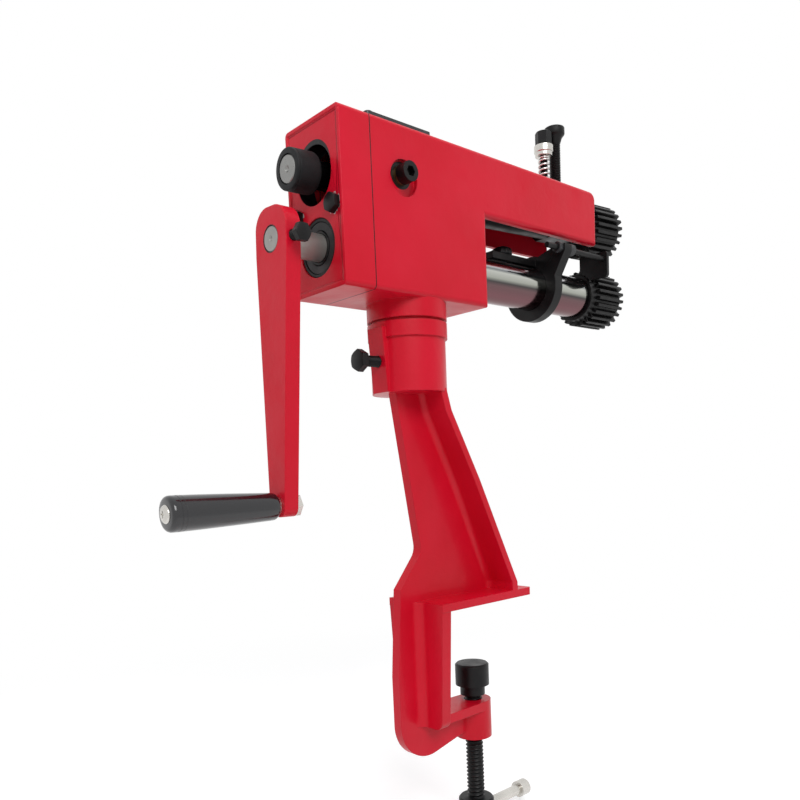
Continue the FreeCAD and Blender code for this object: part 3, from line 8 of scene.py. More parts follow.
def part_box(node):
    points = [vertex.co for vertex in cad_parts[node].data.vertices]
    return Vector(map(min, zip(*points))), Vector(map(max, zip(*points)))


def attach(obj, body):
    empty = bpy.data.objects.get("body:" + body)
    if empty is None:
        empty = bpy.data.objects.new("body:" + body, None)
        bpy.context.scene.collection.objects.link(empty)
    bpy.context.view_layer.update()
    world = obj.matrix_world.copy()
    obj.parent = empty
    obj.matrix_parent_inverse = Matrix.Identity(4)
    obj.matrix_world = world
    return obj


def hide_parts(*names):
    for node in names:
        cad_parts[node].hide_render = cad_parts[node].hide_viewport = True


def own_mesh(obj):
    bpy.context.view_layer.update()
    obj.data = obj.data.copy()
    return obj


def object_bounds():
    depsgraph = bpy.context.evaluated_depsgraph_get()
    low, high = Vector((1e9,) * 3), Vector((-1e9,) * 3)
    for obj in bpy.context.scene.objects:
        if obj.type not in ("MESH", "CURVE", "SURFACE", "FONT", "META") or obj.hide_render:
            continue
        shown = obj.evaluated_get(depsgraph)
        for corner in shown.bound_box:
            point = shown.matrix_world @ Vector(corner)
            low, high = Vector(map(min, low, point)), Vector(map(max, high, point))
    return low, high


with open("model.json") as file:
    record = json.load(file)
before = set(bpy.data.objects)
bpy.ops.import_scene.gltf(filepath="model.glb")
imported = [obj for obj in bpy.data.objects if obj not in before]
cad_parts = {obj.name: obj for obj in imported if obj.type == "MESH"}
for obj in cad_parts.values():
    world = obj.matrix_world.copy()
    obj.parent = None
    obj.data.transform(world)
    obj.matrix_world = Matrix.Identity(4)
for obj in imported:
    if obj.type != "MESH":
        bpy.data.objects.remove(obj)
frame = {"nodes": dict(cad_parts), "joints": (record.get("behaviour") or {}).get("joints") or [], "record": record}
CAD_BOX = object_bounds()
nodes = frame["nodes"]
joints = {joint["name"]: joint for joint in frame["joints"]}

# Photograph's view: the camera's place in metres, its angles in degrees and its focal length
# in pixels of the 800 pixel wide picture, whose perspective is centred below the middle
CAMERA_PLACE = (-0.5509, -0.5236, 0.1293)
CAMERA_YAW = 48.62
CAMERA_PITCH = -5.49
CAMERA_ROLL = -2.50
FOCAL_PIXELS = 762.9
PICTURE_PIXELS = 800
CENTRE_DROP_PIXELS = 144.8
SENSOR_MM = 36.0

# Studio: the floor turns to plain white between these distances from the object, in metres
FLOOR_DROP = 0.0005
FLOOR_SIZE = 60.0
FLOOR_FADE = (0.35, 1.1)
FLOOR_LIFT = 0.42
WORLD_STRENGTH = 0.28

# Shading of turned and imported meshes
JOIN_DISTANCE = 1e-6
SHARP_ANGLE = math.radians(32)
HAIR = 1e-5

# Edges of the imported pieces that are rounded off, in metres
EDGE_ROUNDS = {
    "crank_arm": 0.0007, "rear_cover": 0.0005, "inspection_plate": 0.0004, "gauge_bracket": 0.0005,
    "fence_plate": 0.0004, "lower_roll": 0.0006, "upper_roll": 0.0006, "lower_roll_nut": 0.0006,
    "upper_roll_nut": 0.0006, "lower_spacer_ring": 0.0005, "upper_spacer_ring": 0.0005,
    "spring_bolt_washers": 0.0006, "spring_seat_washer": 0.0003, "tommy_bar_front_cap": 0.0012,
    "tommy_bar_rear_cap": 0.0012, "pivot_screws": 0.0006, "clamp_pad": 0.0006, "grip_nut": 0.0005,
    "fence_rod": 0.0004, "pressure_shoe": 0.0004, "carrier_sleeve": 0.0005,
}
BEVEL_STEPS = 3

# Steps round a turned piece, plain and knurled, and steps along a thread's turn and a knurl
ROUND = 72
FINE = 240
THREAD_STEPS = 8
KNURL_STEP = 0.0002
THREAD_DEPTH_SHARE = 0.6

# Hexagon heads: the outer face's share of the width, and the chamfer's angle and steps
HEX_FACE_SHARE = 0.96
HEX_CHAMFER = math.radians(30)
HEX_CHAMFER_STEPS = 6

# Hexagon bolts: width across flats, head height, shank radius and thread pitch
LOCK_BOLT = (0.017, 0.0064, 0.005, 0.0015)
COVER_BOLT = (0.014, 0.0055, 0.004, 0.00125)
SET_SCREW = (0.013, 0.0053, 0.004, 0.00125)
SPRING_BOLT = (0.015, 0.014, 0.004, 0.00125)
SET_SCREW_REACH = (0.0101, 0.0363)

# Pressure screw: its head's profile runs back from the top
PRESSURE_NECK = 0.0175
PRESSURE_RADIUS = 0.006
PRESSURE_PITCH = 0.00175
PRESSURE_HEAD = [(-0.0165, 0.006), (-0.011, 0.0078), (-0.0082, 0.0098), (-0.0078, 0.0104), (-0.007, 0.0108),
                 (-0.0011, 0.0108), (-0.0004, 0.0105), (0, 0.0098), (0, HAIR)]

# Clamp screw: its hub's profile runs up from the bottom
CLAMP_RADIUS = 0.009
CLAMP_PITCH = 0.004
CLAMP_THREAD_DEPTH = 0.0018
CLAMP_THREAD_START = 0.029
CLAMP_TIP = 0.002
CLAMP_TIP_RADIUS = 0.006
CLAMP_HUB = [(0, HAIR), (0, 0.0165), (0.0015, 0.018), (0.0262, 0.018), (0.028, 0.0165), (0.028, 0.009)]
BAR_HOLE_RADIUS = 0.00555
BAR_HOLE_LENGTH = 0.1

# Shafts: each end's profile with its centre hole. The upper one's ends are places along its own line.
SHAFT_RADIUS = 0.011
CRANK_SEAT_RADIUS = 0.0098
LOWER_REAR_END = [(0.0027, HAIR), (0.0015, 0.001), (0, 0.0024), (0, 0.009), (0.0008, CRANK_SEAT_RADIUS)]
LOWER_FRONT_END = [(-0.0008, SHAFT_RADIUS), (0, 0.0102), (0, 0.0026), (-0.002, 0.001), (-0.003, HAIR)]
UPPER_REAR = -0.0918
UPPER_FRONT = 0.358
UPPER_REAR_END = [(0.003, HAIR), (0.0018, 0.0012), (0, 0.0028), (0, 0.01), (0.001, SHAFT_RADIUS)]
UPPER_FRONT_END = [(-0.0008, SHAFT_RADIUS), (0, 0.0102), (0, 0.0026), (-0.0018, 0.001), (-0.0028, HAIR)]

# Knurled collar, from the upper shaft's rear end. A knurl is its count, its lead and its depth.
COLLAR_RADIUS = 0.0163
COLLAR_KNURLED = (0.0033, 0.0213)
COLLAR_KNURL = (64, 0.0016, 0.00028)
COLLAR_RIM = [(0, 0.0114), (0, 0.0152), (0.0003, 0.0158), (0.001, 0.0161), (0.0025, 0.0161), (0.0029, 0.0156)]
COLLAR_HEEL = [(0.0217, 0.0157), (0.0224, 0.0157), (0.023, 0.015), (0.023, 0.0114)]

# Rear bearing: each ring's profile from its rear face and from its front face
OUTER_RACE = ([(0.0005, 0.0206), (0, 0.0211), (0, 0.0229), (0.0006, 0.0235)],
              [(-0.0006, 0.0235), (0, 0.0229), (0, 0.0206)])
INNER_RACE = ([(0.0005, 0.0135), (0, 0.0131), (0, 0.0116), (0.0005, 0.01105)],
              [(-0.0005, 0.01105), (0, 0.0116), (0, 0.0135)])
SEAL = ([(0.001, 0.0204), (0.0007, 0.02), (0.0007, 0.0142), (0.0011, 0.0137)],
        [(-0.0011, 0.0137), (-0.0007, 0.0142), (-0.0007, 0.02), (-0.0011, 0.0204)])

# Gauge: its rod's hexagon nut and round nut, and the thumb screw's profile down from its top
NUT_BORE = 0.0028
HEX_NUT_WIDTH = 0.01
HEX_NUT_HEIGHT = 0.005
ROUND_NUT_HEIGHT = 0.009
ROUND_NUT_RADIUS = 0.006
ROUND_NUT_FACE = 0.0054
ROUND_NUT_KNURLED = (0.0084, 0.0008)
ROUND_NUT_KNURL = (36, 0.0016, 0.00022)
THUMB_STEM_RADIUS = 0.0029
THUMB_FLUTES = 10
THUMB_FLUTE_DEPTH = 0.0009
THUMB_UNDERSIDE = [(-0.0087, THUMB_STEM_RADIUS), (-0.0085, 0.007)]
THUMB_FLUTED = [(-0.0083, 0.0098), (-0.0075, 0.0105), (-0.0043, 0.0105), (-0.0029, 0.0098), (-0.0017, 0.0083)]
THUMB_CROWN = [(-0.0008, 0.0062), (-0.0002, 0.0036), (0, HAIR)]

# Grip: its outer end has two grooves, and its middle narrows on a curve towards the crank
GRIP_BORE = 0.0064
GRIP_OUTER_END = [(0, GRIP_BORE), (0, 0.0108), (0.0004, 0.0122), (0.0013, 0.0132), (0.0027, 0.0138),
                  (0.0045, 0.0139), (0.0073, 0.0139), (0.0076, 0.0136), (0.008, 0.0136), (0.0083, 0.0139),
                  (0.0107, 0.0139), (0.011, 0.0136), (0.0114, 0.0136), (0.0117, 0.0138)]
GRIP_INNER_END = [(-0.0016, 0.011), (-0.0006, 0.0104), (0, 0.0094), (0, GRIP_BORE)]
GRIP_TAPER_STOP = 0.0027
GRIP_TAPER_STEPS = 14
GRIP_NARROWING = 0.0025
GRIP_CURVE = 1.3

# Grip spindle: domed head, shoulder against the crank and a threaded end.
# A cross recess is its span, its width and its depth.
SPINDLE_DOME = [(0, HAIR), (0, 0.0038), (0.0002, 0.005), (0.0008, 0.0062), (0.0016, 0.007), (0.0022, 0.00725),
                (0.0024, 0.0071), (0.0024, 0.006)]
SPINDLE_SHOULDER = [(0, 0.006), (0, 0.0077), (0.0003, 0.008), (0.0025, 0.008), (0.0028, 0.0077),
                    (0.0028, 0.005)]
SPINDLE_SCREW_RADIUS = 0.005
SPINDLE_TIP_RADIUS = 0.004
SPINDLE_PITCH = 0.0015
SPINDLE_THREADED = (0.0088, 0.0006)
SPINDLE_THREAD_STEP = 0.0002
SPINDLE_CROSS = (0.0056, 0.0011, 0.001)

# Inspection plate's screws: the dome's profile runs up from the plate
PLATE_SCREW_SIDE = 0.027
PLATE_SHANK_RADIUS = 0.0025
PLATE_SCREW_DOME = [(0, PLATE_SHANK_RADIUS), (0, 0.0045), (0.0007, 0.0045), (0.0016, 0.0041),
                    (0.0022, 0.0033), (0.0025, 0.0022), (0.0026, 0.001), (0.0026, HAIR)]
PLATE_SCREW_CROSS = (0.0042, 0.0009, 0.0012)

# Coil spring: wire and coil radius, closed and open turns, steps round a turn and the closed coils' spacing as a
# share of the wire's width
SPRING_WIRE = 0.0011
SPRING_COIL = 0.0052
SPRING_CLOSED = 1.0
SPRING_OPEN = 6.5
SPRING_STEPS = 28
SPRING_CLOSED_PITCH = 1.02

# Lamps: name, place, target, size, power and whether the object mirrors them
LAMPS = [
    ("key", (-0.9, -1.7, 1.5), (0.0, 0.0, 0.30), (1.3, 1.1), 30.0, True),
    ("top", (0.1, 0.2, 1.9), (0.0, 0.0, 0.3), (2.0, 1.6), 18.0, False),
    ("rear", (-1.9, 0.3, 1.1), (0.0, 0.0, 0.25), (1.2, 1.2), 8.0, False),
    ("front", (1.6, -1.0, 0.9), (0.1, 0.0, 0.3), (1.0, 1.0), 6.0, False),
]


def axis_frame(origin, direction):
    """A frame at an origin whose X axis runs along a direction."""
    along = Vector(direction).normalized()
    side = Vector((0, 1, 0)) if abs(along.y) < 0.9 else Vector((0, 0, 1))
    up = along.cross(side).normalized()
    side = up.cross(along)
    return Matrix.Translation(origin) @ Matrix((along, side, up)).transposed().to_4x4()


def ends(node, axis):
    """Where a node starts and ends along an axis."""
    low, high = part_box(node)
    return low[axis], high[axis]


def middle_of(node):
    low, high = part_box(node)
    return (low + high) / 2


X, Z = 0, 2
X_WAY = (1, 0, 0)
Z_WAY = (0, 0, 1)
SHAFT_HEIGHT = joints["crank_turn"]["pos_m"][2]
SPINDLE_PLACE = Vector(joints["grip_spin"]["pos_m"])
CRANK_REACH = SPINDLE_PLACE - Vector((SPINDLE_PLACE.x, 0, SHAFT_HEIGHT))
LOWER_LINE = axis_frame((0, 0, SHAFT_HEIGHT), X_WAY)
UPPER_LINE = axis_frame(joints["upper_shaft_spin"]["pos_m"], joints["upper_shaft_spin"]["axis"])
SPINDLE_LINE = axis_frame((0, SPINDLE_PLACE.y, SPINDLE_PLACE.z), X_WAY)
LOCK_LINE = axis_frame((0, 0, joints["lock_bolt_turn"]["pos_m"][2]), X_WAY)
ROD_LINE = axis_frame((0, middle_of("fence_rod").y, middle_of("fence_rod").z), X_WAY)
CLAMP_LINE = axis_frame((0, 0, 0), Z_WAY)
PRESSURE_LINE = axis_frame((joints["pressure_turn"]["pos_m"][0], 0, 0), Z_WAY)
SPRING_LINE = axis_frame((middle_of("spring_bolt").x, 0, 0), Z_WAY)
THUMB_LINE = axis_frame((joints["thumb_screw_turn"]["pos_m"][0], 0, 0), Z_WAY)


def add_camera():
    yaw, pitch, roll = (math.radians(angle) for angle in (CAMERA_YAW, CAMERA_PITCH, CAMERA_ROLL))
    ahead = Vector((math.cos(pitch) * math.cos(yaw), math.cos(pitch) * math.sin(yaw), math.sin(pitch)))
    level = Vector((math.sin(yaw), -math.cos(yaw), 0.0))
    upright = level.cross(ahead)
    right = math.cos(roll) * level + math.sin(roll) * upright
    up = -math.sin(roll) * level + math.cos(roll) * upright
    data = bpy.data.cameras.new("camera")
    data.sensor_width = SENSOR_MM
    data.lens = FOCAL_PIXELS / PICTURE_PIXELS * SENSOR_MM
    data.shift_y = CENTRE_DROP_PIXELS / PICTURE_PIXELS
    data.clip_start = 0.01
    camera = bpy.data.objects.new("camera", data)
    turn = Matrix((right, up, -ahead)).transposed().to_4x4()
    camera.matrix_world = Matrix.Translation(CAMERA_PLACE) @ turn
    bpy.context.scene.collection.objects.link(camera)
    bpy.context.scene.camera = camera


class Shader:
    """A material's nodes, made one after another."""

    def __init__(self, name):
        self.material = bpy.data.materials.new(name)
        self.material.use_nodes = True
        self.tree = self.material.node_tree
        self.principled = self.tree.nodes["Principled BSDF"]
        self.place = self.add("ShaderNodeTexCoord").outputs["Object"]

    def add(self, kind, **values):
        node = self.tree.nodes.new(kind)
        for name, value in values.items():
            setattr(node, name, value)
        return node

    def link(self, source, target):
        self.tree.links.new(source, target)

    def noise(self, scale, detail=3.0, rough=0.5, stretch=None):
        place = self.place
        if stretch:
            mapping = self.add("ShaderNodeMapping")
            mapping.inputs["Scale"].default_value = stretch
            self.link(place, mapping.inputs["Vector"])
            place = mapping.outputs["Vector"]
        node = self.add("ShaderNodeTexNoise")
        node.inputs["Scale"].default_value = scale
        node.inputs["Detail"].default_value = detail
        node.inputs["Roughness"].default_value = rough
        self.link(place, node.inputs["Vector"])
        return node.outputs["Fac"]

    def ramp(self, source, low, high, start=0.0, end=1.0):
        node = self.add("ShaderNodeMapRange")
        node.inputs["From Min"].default_value = start
        node.inputs["From Max"].default_value = end
        node.inputs["To Min"].default_value = low
        node.inputs["To Max"].default_value = high
        self.link(source, node.inputs["Value"])
        return node.outputs["Result"]

    def maths(self, operation, *values):
        node = self.add("ShaderNodeMath", operation=operation)
        for socket, value in zip(node.inputs, values):
            if isinstance(value, (int, float)):
                socket.default_value = value
            else:
                self.link(value, socket)
        return node.outputs[0]

    def from_line(self, point, across):
        """Distance from a line through a point, where across is 1 on the axes that count and 0 along it."""
        shifted = self.add("ShaderNodeVectorMath", operation="SUBTRACT")
        self.link(self.place, shifted.inputs[0])
        shifted.inputs[1].default_value = point
        flat = self.add("ShaderNodeVectorMath", operation="MULTIPLY")
        self.link(shifted.outputs["Vector"], flat.inputs[0])
        flat.inputs[1].default_value = across
        length = self.add("ShaderNodeVectorMath", operation="LENGTH")
        self.link(flat.outputs["Vector"], length.inputs[0])
        return length.outputs["Value"]

    def band(self, distance, inner, outer, soft=0.0002):
        """1 where a distance lies between two values and 0 outside them."""
        rise = self.ramp(distance, 0.0, 1.0, inner - soft, inner + soft)
        fall = self.ramp(distance, 1.0, 0.0, outer - soft, outer + soft)
        return self.maths("MULTIPLY", rise, fall)

    def rim_height(self, low, high, width):
        """1 on a border of that width round a face seen along X, falling to 0 inside it."""
        away = None
        split = self.add("ShaderNodeSeparateXYZ")
        self.link(self.place, split.inputs[0])
        for axis, name in ((1, "Y"), (2, "Z")):
            middle = (low[axis] + high[axis]) / 2
            inner = (high[axis] - low[axis]) / 2 - width
            offset = self.maths("ABSOLUTE", self.maths("SUBTRACT", split.outputs[name], middle))
            past = self.ramp(offset, 0.0, 1.0, inner - 0.0008, inner + 0.0002)
            away = past if away is None else self.maths("MAXIMUM", away, past)
        return away

    def mix(self, factor, first, second):
        node = self.add("ShaderNodeMix", data_type="RGBA")
        for value, socket in ((first, node.inputs[6]), (second, node.inputs[7])):
            if isinstance(value, tuple):
                socket.default_value = value + (1.0,)
            else:
                self.link(value, socket)
        self.link(factor, node.inputs[0])
        return node.outputs[2]

    def rounded(self, radius):
        """A normal that runs round sharp edges."""
        node = self.add("ShaderNodeBevel", samples=6)
        node.inputs["Radius"].default_value = radius
        return node.outputs["Normal"]

    def bump(self, height, distance, strength=1.0, under=None):
        node = self.add("ShaderNodeBump")
        node.inputs["Distance"].default_value = distance
        node.inputs["Strength"].default_value = strength
        self.link(height, node.inputs["Height"])
        if under is not None:
            self.link(under, node.inputs["Normal"])
        return node.outputs["Normal"]

    def finish(self, **inputs):
        for name, value in inputs.items():
            socket = self.principled.inputs[name.replace("_", " ")]
            if hasattr(value, "node"):
                self.link(value, socket)
            else:
                socket.default_value = value + (1.0,) if isinstance(value, tuple) else value
        return self.material


RED_DEEP = (0.58, 0.0025, 0.016)
RED_BRIGHT = (0.66, 0.005, 0.026)
BARE_STEEL = (0.62, 0.58, 0.56)
# Painted shade: near black laid into shaded bores, the cover's seam, the crevice round the crank's shaft and the
# upper shaft past its collar
PAINTED_SHADE = (0.006, 0.005, 0.006)
SEAM_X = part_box("rear_cover")[1].x
SEAM_SHADE_HALF = 0.00045
COVER_BOLT_SIDE = 0.025
BOLT_PLACES = [(middle_of("rear_cover").x, y, middle_of("cover_bolts").z)
               for y in (-COVER_BOLT_SIDE, COVER_BOLT_SIDE)]


def red_enamel(name, painted_seam_shade=False, worn_seats=(), painted_shade_rings=(), rim=None, painted_shade_bores=()):
    """Glossy enamel over a cast skin: long soft waves, orange peel, duller patches and worn spots, with painted
    shade in a seam, crevice rings and bores where asked.
    """
    s = Shader(name)
    patches = s.noise(9.0, 4.0)
    colour = s.mix(s.ramp(patches, 0.0, 1.0, 0.35, 0.7), RED_DEEP, RED_BRIGHT)
    fine = s.noise(160.0, 5.0, 0.7)
    colour = s.mix(s.ramp(fine, 0.0, 0.35, 0.58, 0.78), colour, RED_DEEP)
    roughness = s.ramp(s.noise(24.0, 5.0), 0.30, 0.46, 0.3, 0.7)
    for point in worn_seats:
        away = s.from_line(point, (0, 1, 1))
        torn = s.ramp(s.noise(240.0, 3.0), 0.0, 1.0, 0.52, 0.56)
        colour = s.mix(s.maths("MULTIPLY", s.band(away, 0.0062, 0.0086), torn), colour, BARE_STEEL)
    # Painted shade: near-black rings in the crevice round a shaft
    for point, inner, outer in painted_shade_rings:
        away = s.from_line(point, (0, 1, 1))
        colour = s.mix(s.band(away, inner, outer, 0.0003), colour, PAINTED_SHADE)
    # Painted shade: bores and openings coloured near black as if deep in shade
    for point, across, radius in painted_shade_bores:
        away = s.from_line(point, across)
        colour = s.mix(s.band(away, -1.0, radius, 0.0001), colour, PAINTED_SHADE)
    # Painted shade: a thin near-black line along the joint between the rear cover and the head, standing for the
    # shadow in the gap
    if painted_seam_shade:
        away = s.from_line((SEAM_X, 0, 0), X_WAY)
        colour = s.mix(s.band(away, -1.0, SEAM_SHADE_HALF), colour, PAINTED_SHADE)
    under = s.rounded(0.0009)
    if rim:
        under = s.bump(s.rim_height(*rim), 0.0012, 1.0, under)
    waves = s.bump(s.noise(38.0, 2.0), 0.0016, 0.45, under)
    peel = s.bump(s.noise(420.0, 2.0), 0.00022, 0.5, waves)
    grit = s.bump(s.ramp(fine, 0.0, 1.0, 0.62, 0.8), 0.0002, 0.4, peel)
    return s.finish(Base_Color=colour, Roughness=roughness, Specular_IOR_Level=0.20,
                    Coat_Weight=0.10, Coat_Roughness=0.10, Normal=grit)


def dark_metal(name, low_tint, high_tint, smooth, rough, grain=0.00008, gloss=0.22):
    """Blackened steel: near black with a faint bloom, satin with fine marks."""
    s = Shader(name)
    bloom = s.noise(60.0, 5.0, 0.6)
    colour = s.mix(s.ramp(bloom, 0.0, 1.0, 0.4, 0.75), low_tint, high_tint)
    marks = s.bump(s.noise(900.0, 3.0), grain, 0.6, s.rounded(0.0005))
    return s.finish(Base_Color=colour, Roughness=s.ramp(s.noise(80.0, 4.0), smooth, rough, 0.3, 0.7),
                    Specular_IOR_Level=gloss, Normal=marks)


def bright_metal(name, colour, low, high, stretch, metallic=1.0, painted_shade_from=None):
    """Turned or ground metal, with fine marks stretched along one way. Past a place on X it is painted dark,
    painted shade where the shaft runs into a shaded bore.
    """
    s = Shader(name)
    marks = s.noise(700.0, 3.0, 0.6, stretch)
    tint = s.mix(s.ramp(s.noise(45.0, 4.0), 0.0, 1.0, 0.35, 0.7), colour, tuple(c * 0.82 for c in colour))
    # Painted shade: near black past the given place on X
    if painted_shade_from is not None:
        split = s.add("ShaderNodeSeparateXYZ")
        s.link(s.place, split.inputs[0])
        tint = s.mix(s.ramp(split.outputs["X"], 0.0, 1.0, painted_shade_from, painted_shade_from + 0.0005), tint, PAINTED_SHADE)
    return s.finish(Base_Color=tint, Metallic=metallic, Roughness=s.ramp(marks, low, high, 0.3, 0.7),
                    Normal=s.bump(marks, 0.00003, 0.5, s.rounded(0.0004)))


def chrome():
    """Plated tube: painted reflections, bright and dark streaks that run along it as a mirror bent round would
    show them.
    """
    s = Shader("chrome")
    low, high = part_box("lower_tube")
    split = s.add("ShaderNodeSeparateXYZ")
    s.link(s.place, split.inputs[0])
    waver = s.ramp(s.noise(14.0, 2.0, 0.5, (0.4, 1.0, 1.0)), -0.0012, 0.0012)
    height = s.maths("ADD", split.outputs["Z"], waver)
    # Painted reflection: the streak colours are set by height on the tube
    painted_reflection_ramp = s.add("ShaderNodeValToRGB")
    s.link(s.ramp(height, 0.0, 1.0, low.z, high.z), painted_reflection_ramp.inputs[0])
    stops = painted_reflection_ramp.color_ramp.elements
    for place, tint in TUBE_PAINTED_REFLECTIONS[2:]:
        stops.new(place).color = (*tint, 1.0)
    for stop, (place, tint) in zip(sorted(stops, key=lambda e: e.position), sorted(TUBE_PAINTED_REFLECTIONS)):
        stop.position = place
        stop.color = (*tint, 1.0)
    marks = s.noise(500.0, 3.0, 0.5, (0.03, 1.0, 1.0))
    return s.finish(Base_Color=painted_reflection_ramp.outputs[0], Metallic=1.0, Roughness=s.ramp(marks, 0.07, 0.2, 0.3, 0.7),
                    Normal=s.rounded(0.0004))


def grip_black():
    s = Shader("grip_black")
    haze = s.noise(30.0, 4.0)
    draw = s.noise(60.0, 3.0, 0.5, (0.05, 1.0, 1.0))
    waves = s.bump(draw, 0.0006, 0.35)
    skin = s.bump(s.noise(160.0, 2.0), 0.00006, 0.5, waves)
    return s.finish(Base_Color=(0.006, 0.006, 0.008), Roughness=s.ramp(haze, 0.12, 0.28, 0.35, 0.7),
                    Coat_Weight=0.4, Coat_Roughness=0.06, Normal=skin)


# Painted reflections up the tube, streaks as a mirror would show them: share of its height and colour
TUBE_PAINTED_REFLECTIONS = [
    (0.0, (0.13, 0.045, 0.050)), (1.0, (0.30, 0.30, 0.32)), (0.10, (0.17, 0.075, 0.085)),
    (0.28, (0.16, 0.095, 0.10)), (0.36, (0.07, 0.065, 0.065)), (0.44, (0.36, 0.37, 0.33)),
    (0.58, (0.50, 0.51, 0.47)), (0.64, (0.16, 0.17, 0.18)), (0.70, (0.62, 0.61, 0.63)),
    (0.78, (0.86, 0.85, 0.88)), (0.83, (0.28, 0.28, 0.31)), (0.88, (0.92, 0.91, 0.93)),
    (0.94, (0.40, 0.39, 0.42)),
]
# Painted shade ring round the shaft where it enters the crank arm: place on the axis, inner and outer radius
SHAFT_SHADE_RING = [((0, 0, SHAFT_HEIGHT), 0.0096, 0.0106)]
PIVOT_PLACE = Vector(joints["carrier_tilt"]["pos_m"])
COVER_RIM = 0.0045

# Bores filled with painted shade: a place on the axis, the axes across it and a radius just past the wall
SLOT_RADIUS = 0.0233
SLOT_DROP = 0.004
ROUND_X = (0, 1, 1)
ROUND_Y = (1, 0, 1)
COVER_SLOT = [((0, 0, PIVOT_PLACE.z), ROUND_X, SLOT_RADIUS),
              ((0, 0, PIVOT_PLACE.z - SLOT_DROP), ROUND_X, SLOT_RADIUS)]
SIDE_OPENING = [(tuple(PIVOT_PLACE), ROUND_Y, 0.0111)]
MATERIALS = {
    "red_enamel": red_enamel("red_enamel"),
    "red_head": red_enamel("red_head", painted_seam_shade=True, painted_shade_bores=SIDE_OPENING),
    "red_cover": red_enamel("red_cover", painted_seam_shade=True, worn_seats=BOLT_PLACES,
                            rim=(*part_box("rear_cover"), COVER_RIM), painted_shade_bores=COVER_SLOT),
    "red_crank": red_enamel("red_crank", painted_shade_rings=SHAFT_SHADE_RING),
    "black_oxide": dark_metal("black_oxide", (0.003, 0.003, 0.0035), (0.009, 0.008, 0.008), 0.30, 0.50),
    "cast_black": dark_metal("cast_black", (0.006, 0.007, 0.008), (0.016, 0.016, 0.017), 0.45, 0.62, 0.0002),
    "bearing_grey": dark_metal("bearing_grey", (0.020, 0.020, 0.021), (0.045, 0.045, 0.047), 0.35, 0.5),
    "plate_grey": dark_metal("plate_grey", (0.012, 0.013, 0.015), (0.030, 0.031, 0.034), 0.35, 0.5,
                             gloss=0.5),
    "bright_steel": bright_metal("bright_steel", (0.60, 0.59, 0.57), 0.22, 0.38, (60.0, 1.0, 1.0)),
    "nickel": bright_metal("nickel", (0.66, 0.64, 0.60), 0.18, 0.36, (1.0, 1.0, 1.0)),
    "chrome": chrome(),
    "shaft_grey": bright_metal("shaft_grey", (0.34, 0.33, 0.31), 0.30, 0.45, (1.0, 40.0, 40.0), metallic=0.6),
    # The upper shaft past its collar is painted dark: painted shade in the cover's bore
    "collar_end": bright_metal("collar_end", (0.30, 0.30, 0.29), 0.25, 0.42, (1.0, 1.0, 1.0), metallic=0.85,
                               painted_shade_from=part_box("alignment_collar")[1].x - 0.001),
    "bronze": bright_metal("bronze", (0.55, 0.36, 0.16), 0.25, 0.4, (50.0, 1.0, 1.0)),
    "spring_steel": bright_metal("spring_steel", (0.74, 0.73, 0.71), 0.18, 0.3, (1.0, 1.0, 20.0)),
    "grip_black": grip_black(),
}
NODE_FINISHES = {"head_casting": "red_head", "rear_cover": "red_cover", "crank_arm": "red_crank",
                 "inspection_plate": "plate_grey"}


def smoothing_group():
    """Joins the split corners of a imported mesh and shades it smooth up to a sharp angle."""
    group = bpy.data.node_groups.new("smooth_joined", "GeometryNodeTree")
    group.interface.new_socket("Geometry", in_out="INPUT", socket_type="NodeSocketGeometry")
    group.interface.new_socket("Geometry", in_out="OUTPUT", socket_type="NodeSocketGeometry")
    enter = group.nodes.new("NodeGroupInput")
    leave = group.nodes.new("NodeGroupOutput")
    merge = group.nodes.new("GeometryNodeMergeByDistance")
    merge.inputs["Distance"].default_value = JOIN_DISTANCE
    angle = group.nodes.new("GeometryNodeInputMeshEdgeAngle")
    sharp = group.nodes.new("FunctionNodeCompare")
    sharp.operation = "GREATER_THAN"
    sharp.inputs["B"].default_value = SHARP_ANGLE
    normal = group.nodes.new("GeometryNodeSetMeshNormal")
    normal.mode = "SHARPNESS"
    group.links.new(enter.outputs[0], merge.inputs["Geometry"])
    group.links.new(merge.outputs["Geometry"], normal.inputs["Mesh"])
    group.links.new(angle.outputs["Unsigned Angle"], sharp.inputs["A"])
    group.links.new(sharp.outputs["Result"], normal.inputs["Edge Sharpness"])
    group.links.new(normal.outputs["Mesh"], leave.inputs[0])
    return group


SMOOTHING = smoothing_group()


def round_edges(thing, width):
    """Round a mesh's sharp edges with modifiers and keep its flat faces flat."""
    thing.modifiers.new("join", "NODES").node_group = SMOOTHING
    bevel = thing.modifiers.new("bevel", "BEVEL")
    bevel.width = width
    bevel.segments = BEVEL_STEPS
    bevel.limit_method = "ANGLE"
    bevel.angle_limit = SHARP_ANGLE
    bevel.use_clamp_overlap = True
    thing.modifiers.new("smooth", "NODES").node_group = SMOOTHING
    weighted = thing.modifiers.new("weighted", "WEIGHTED_NORMAL")
    weighted.keep_sharp = True


def finish_nodes():
    """Each node's finish, by the record's slots, and rounded edges where they show."""
    for part in frame["record"]["subparts"]:
        thing = nodes[part["node"]]
        finish = NODE_FINISHES.get(part["node"], part["material_slot"])
        thing.data.materials.clear()
        thing.data.materials.append(MATERIALS[finish])
        if part["node"] in EDGE_ROUNDS:
            round_edges(thing, EDGE_ROUNDS[part["node"]])


def object_from(name, mesh):
    data = bpy.data.meshes.new(name)
    bmesh.ops.recalc_face_normals(mesh, faces=mesh.faces)
    mesh.to_mesh(data)
    mesh.free()
    thing = bpy.data.objects.new(name, data)
    bpy.context.scene.collection.objects.link(thing)
    return thing


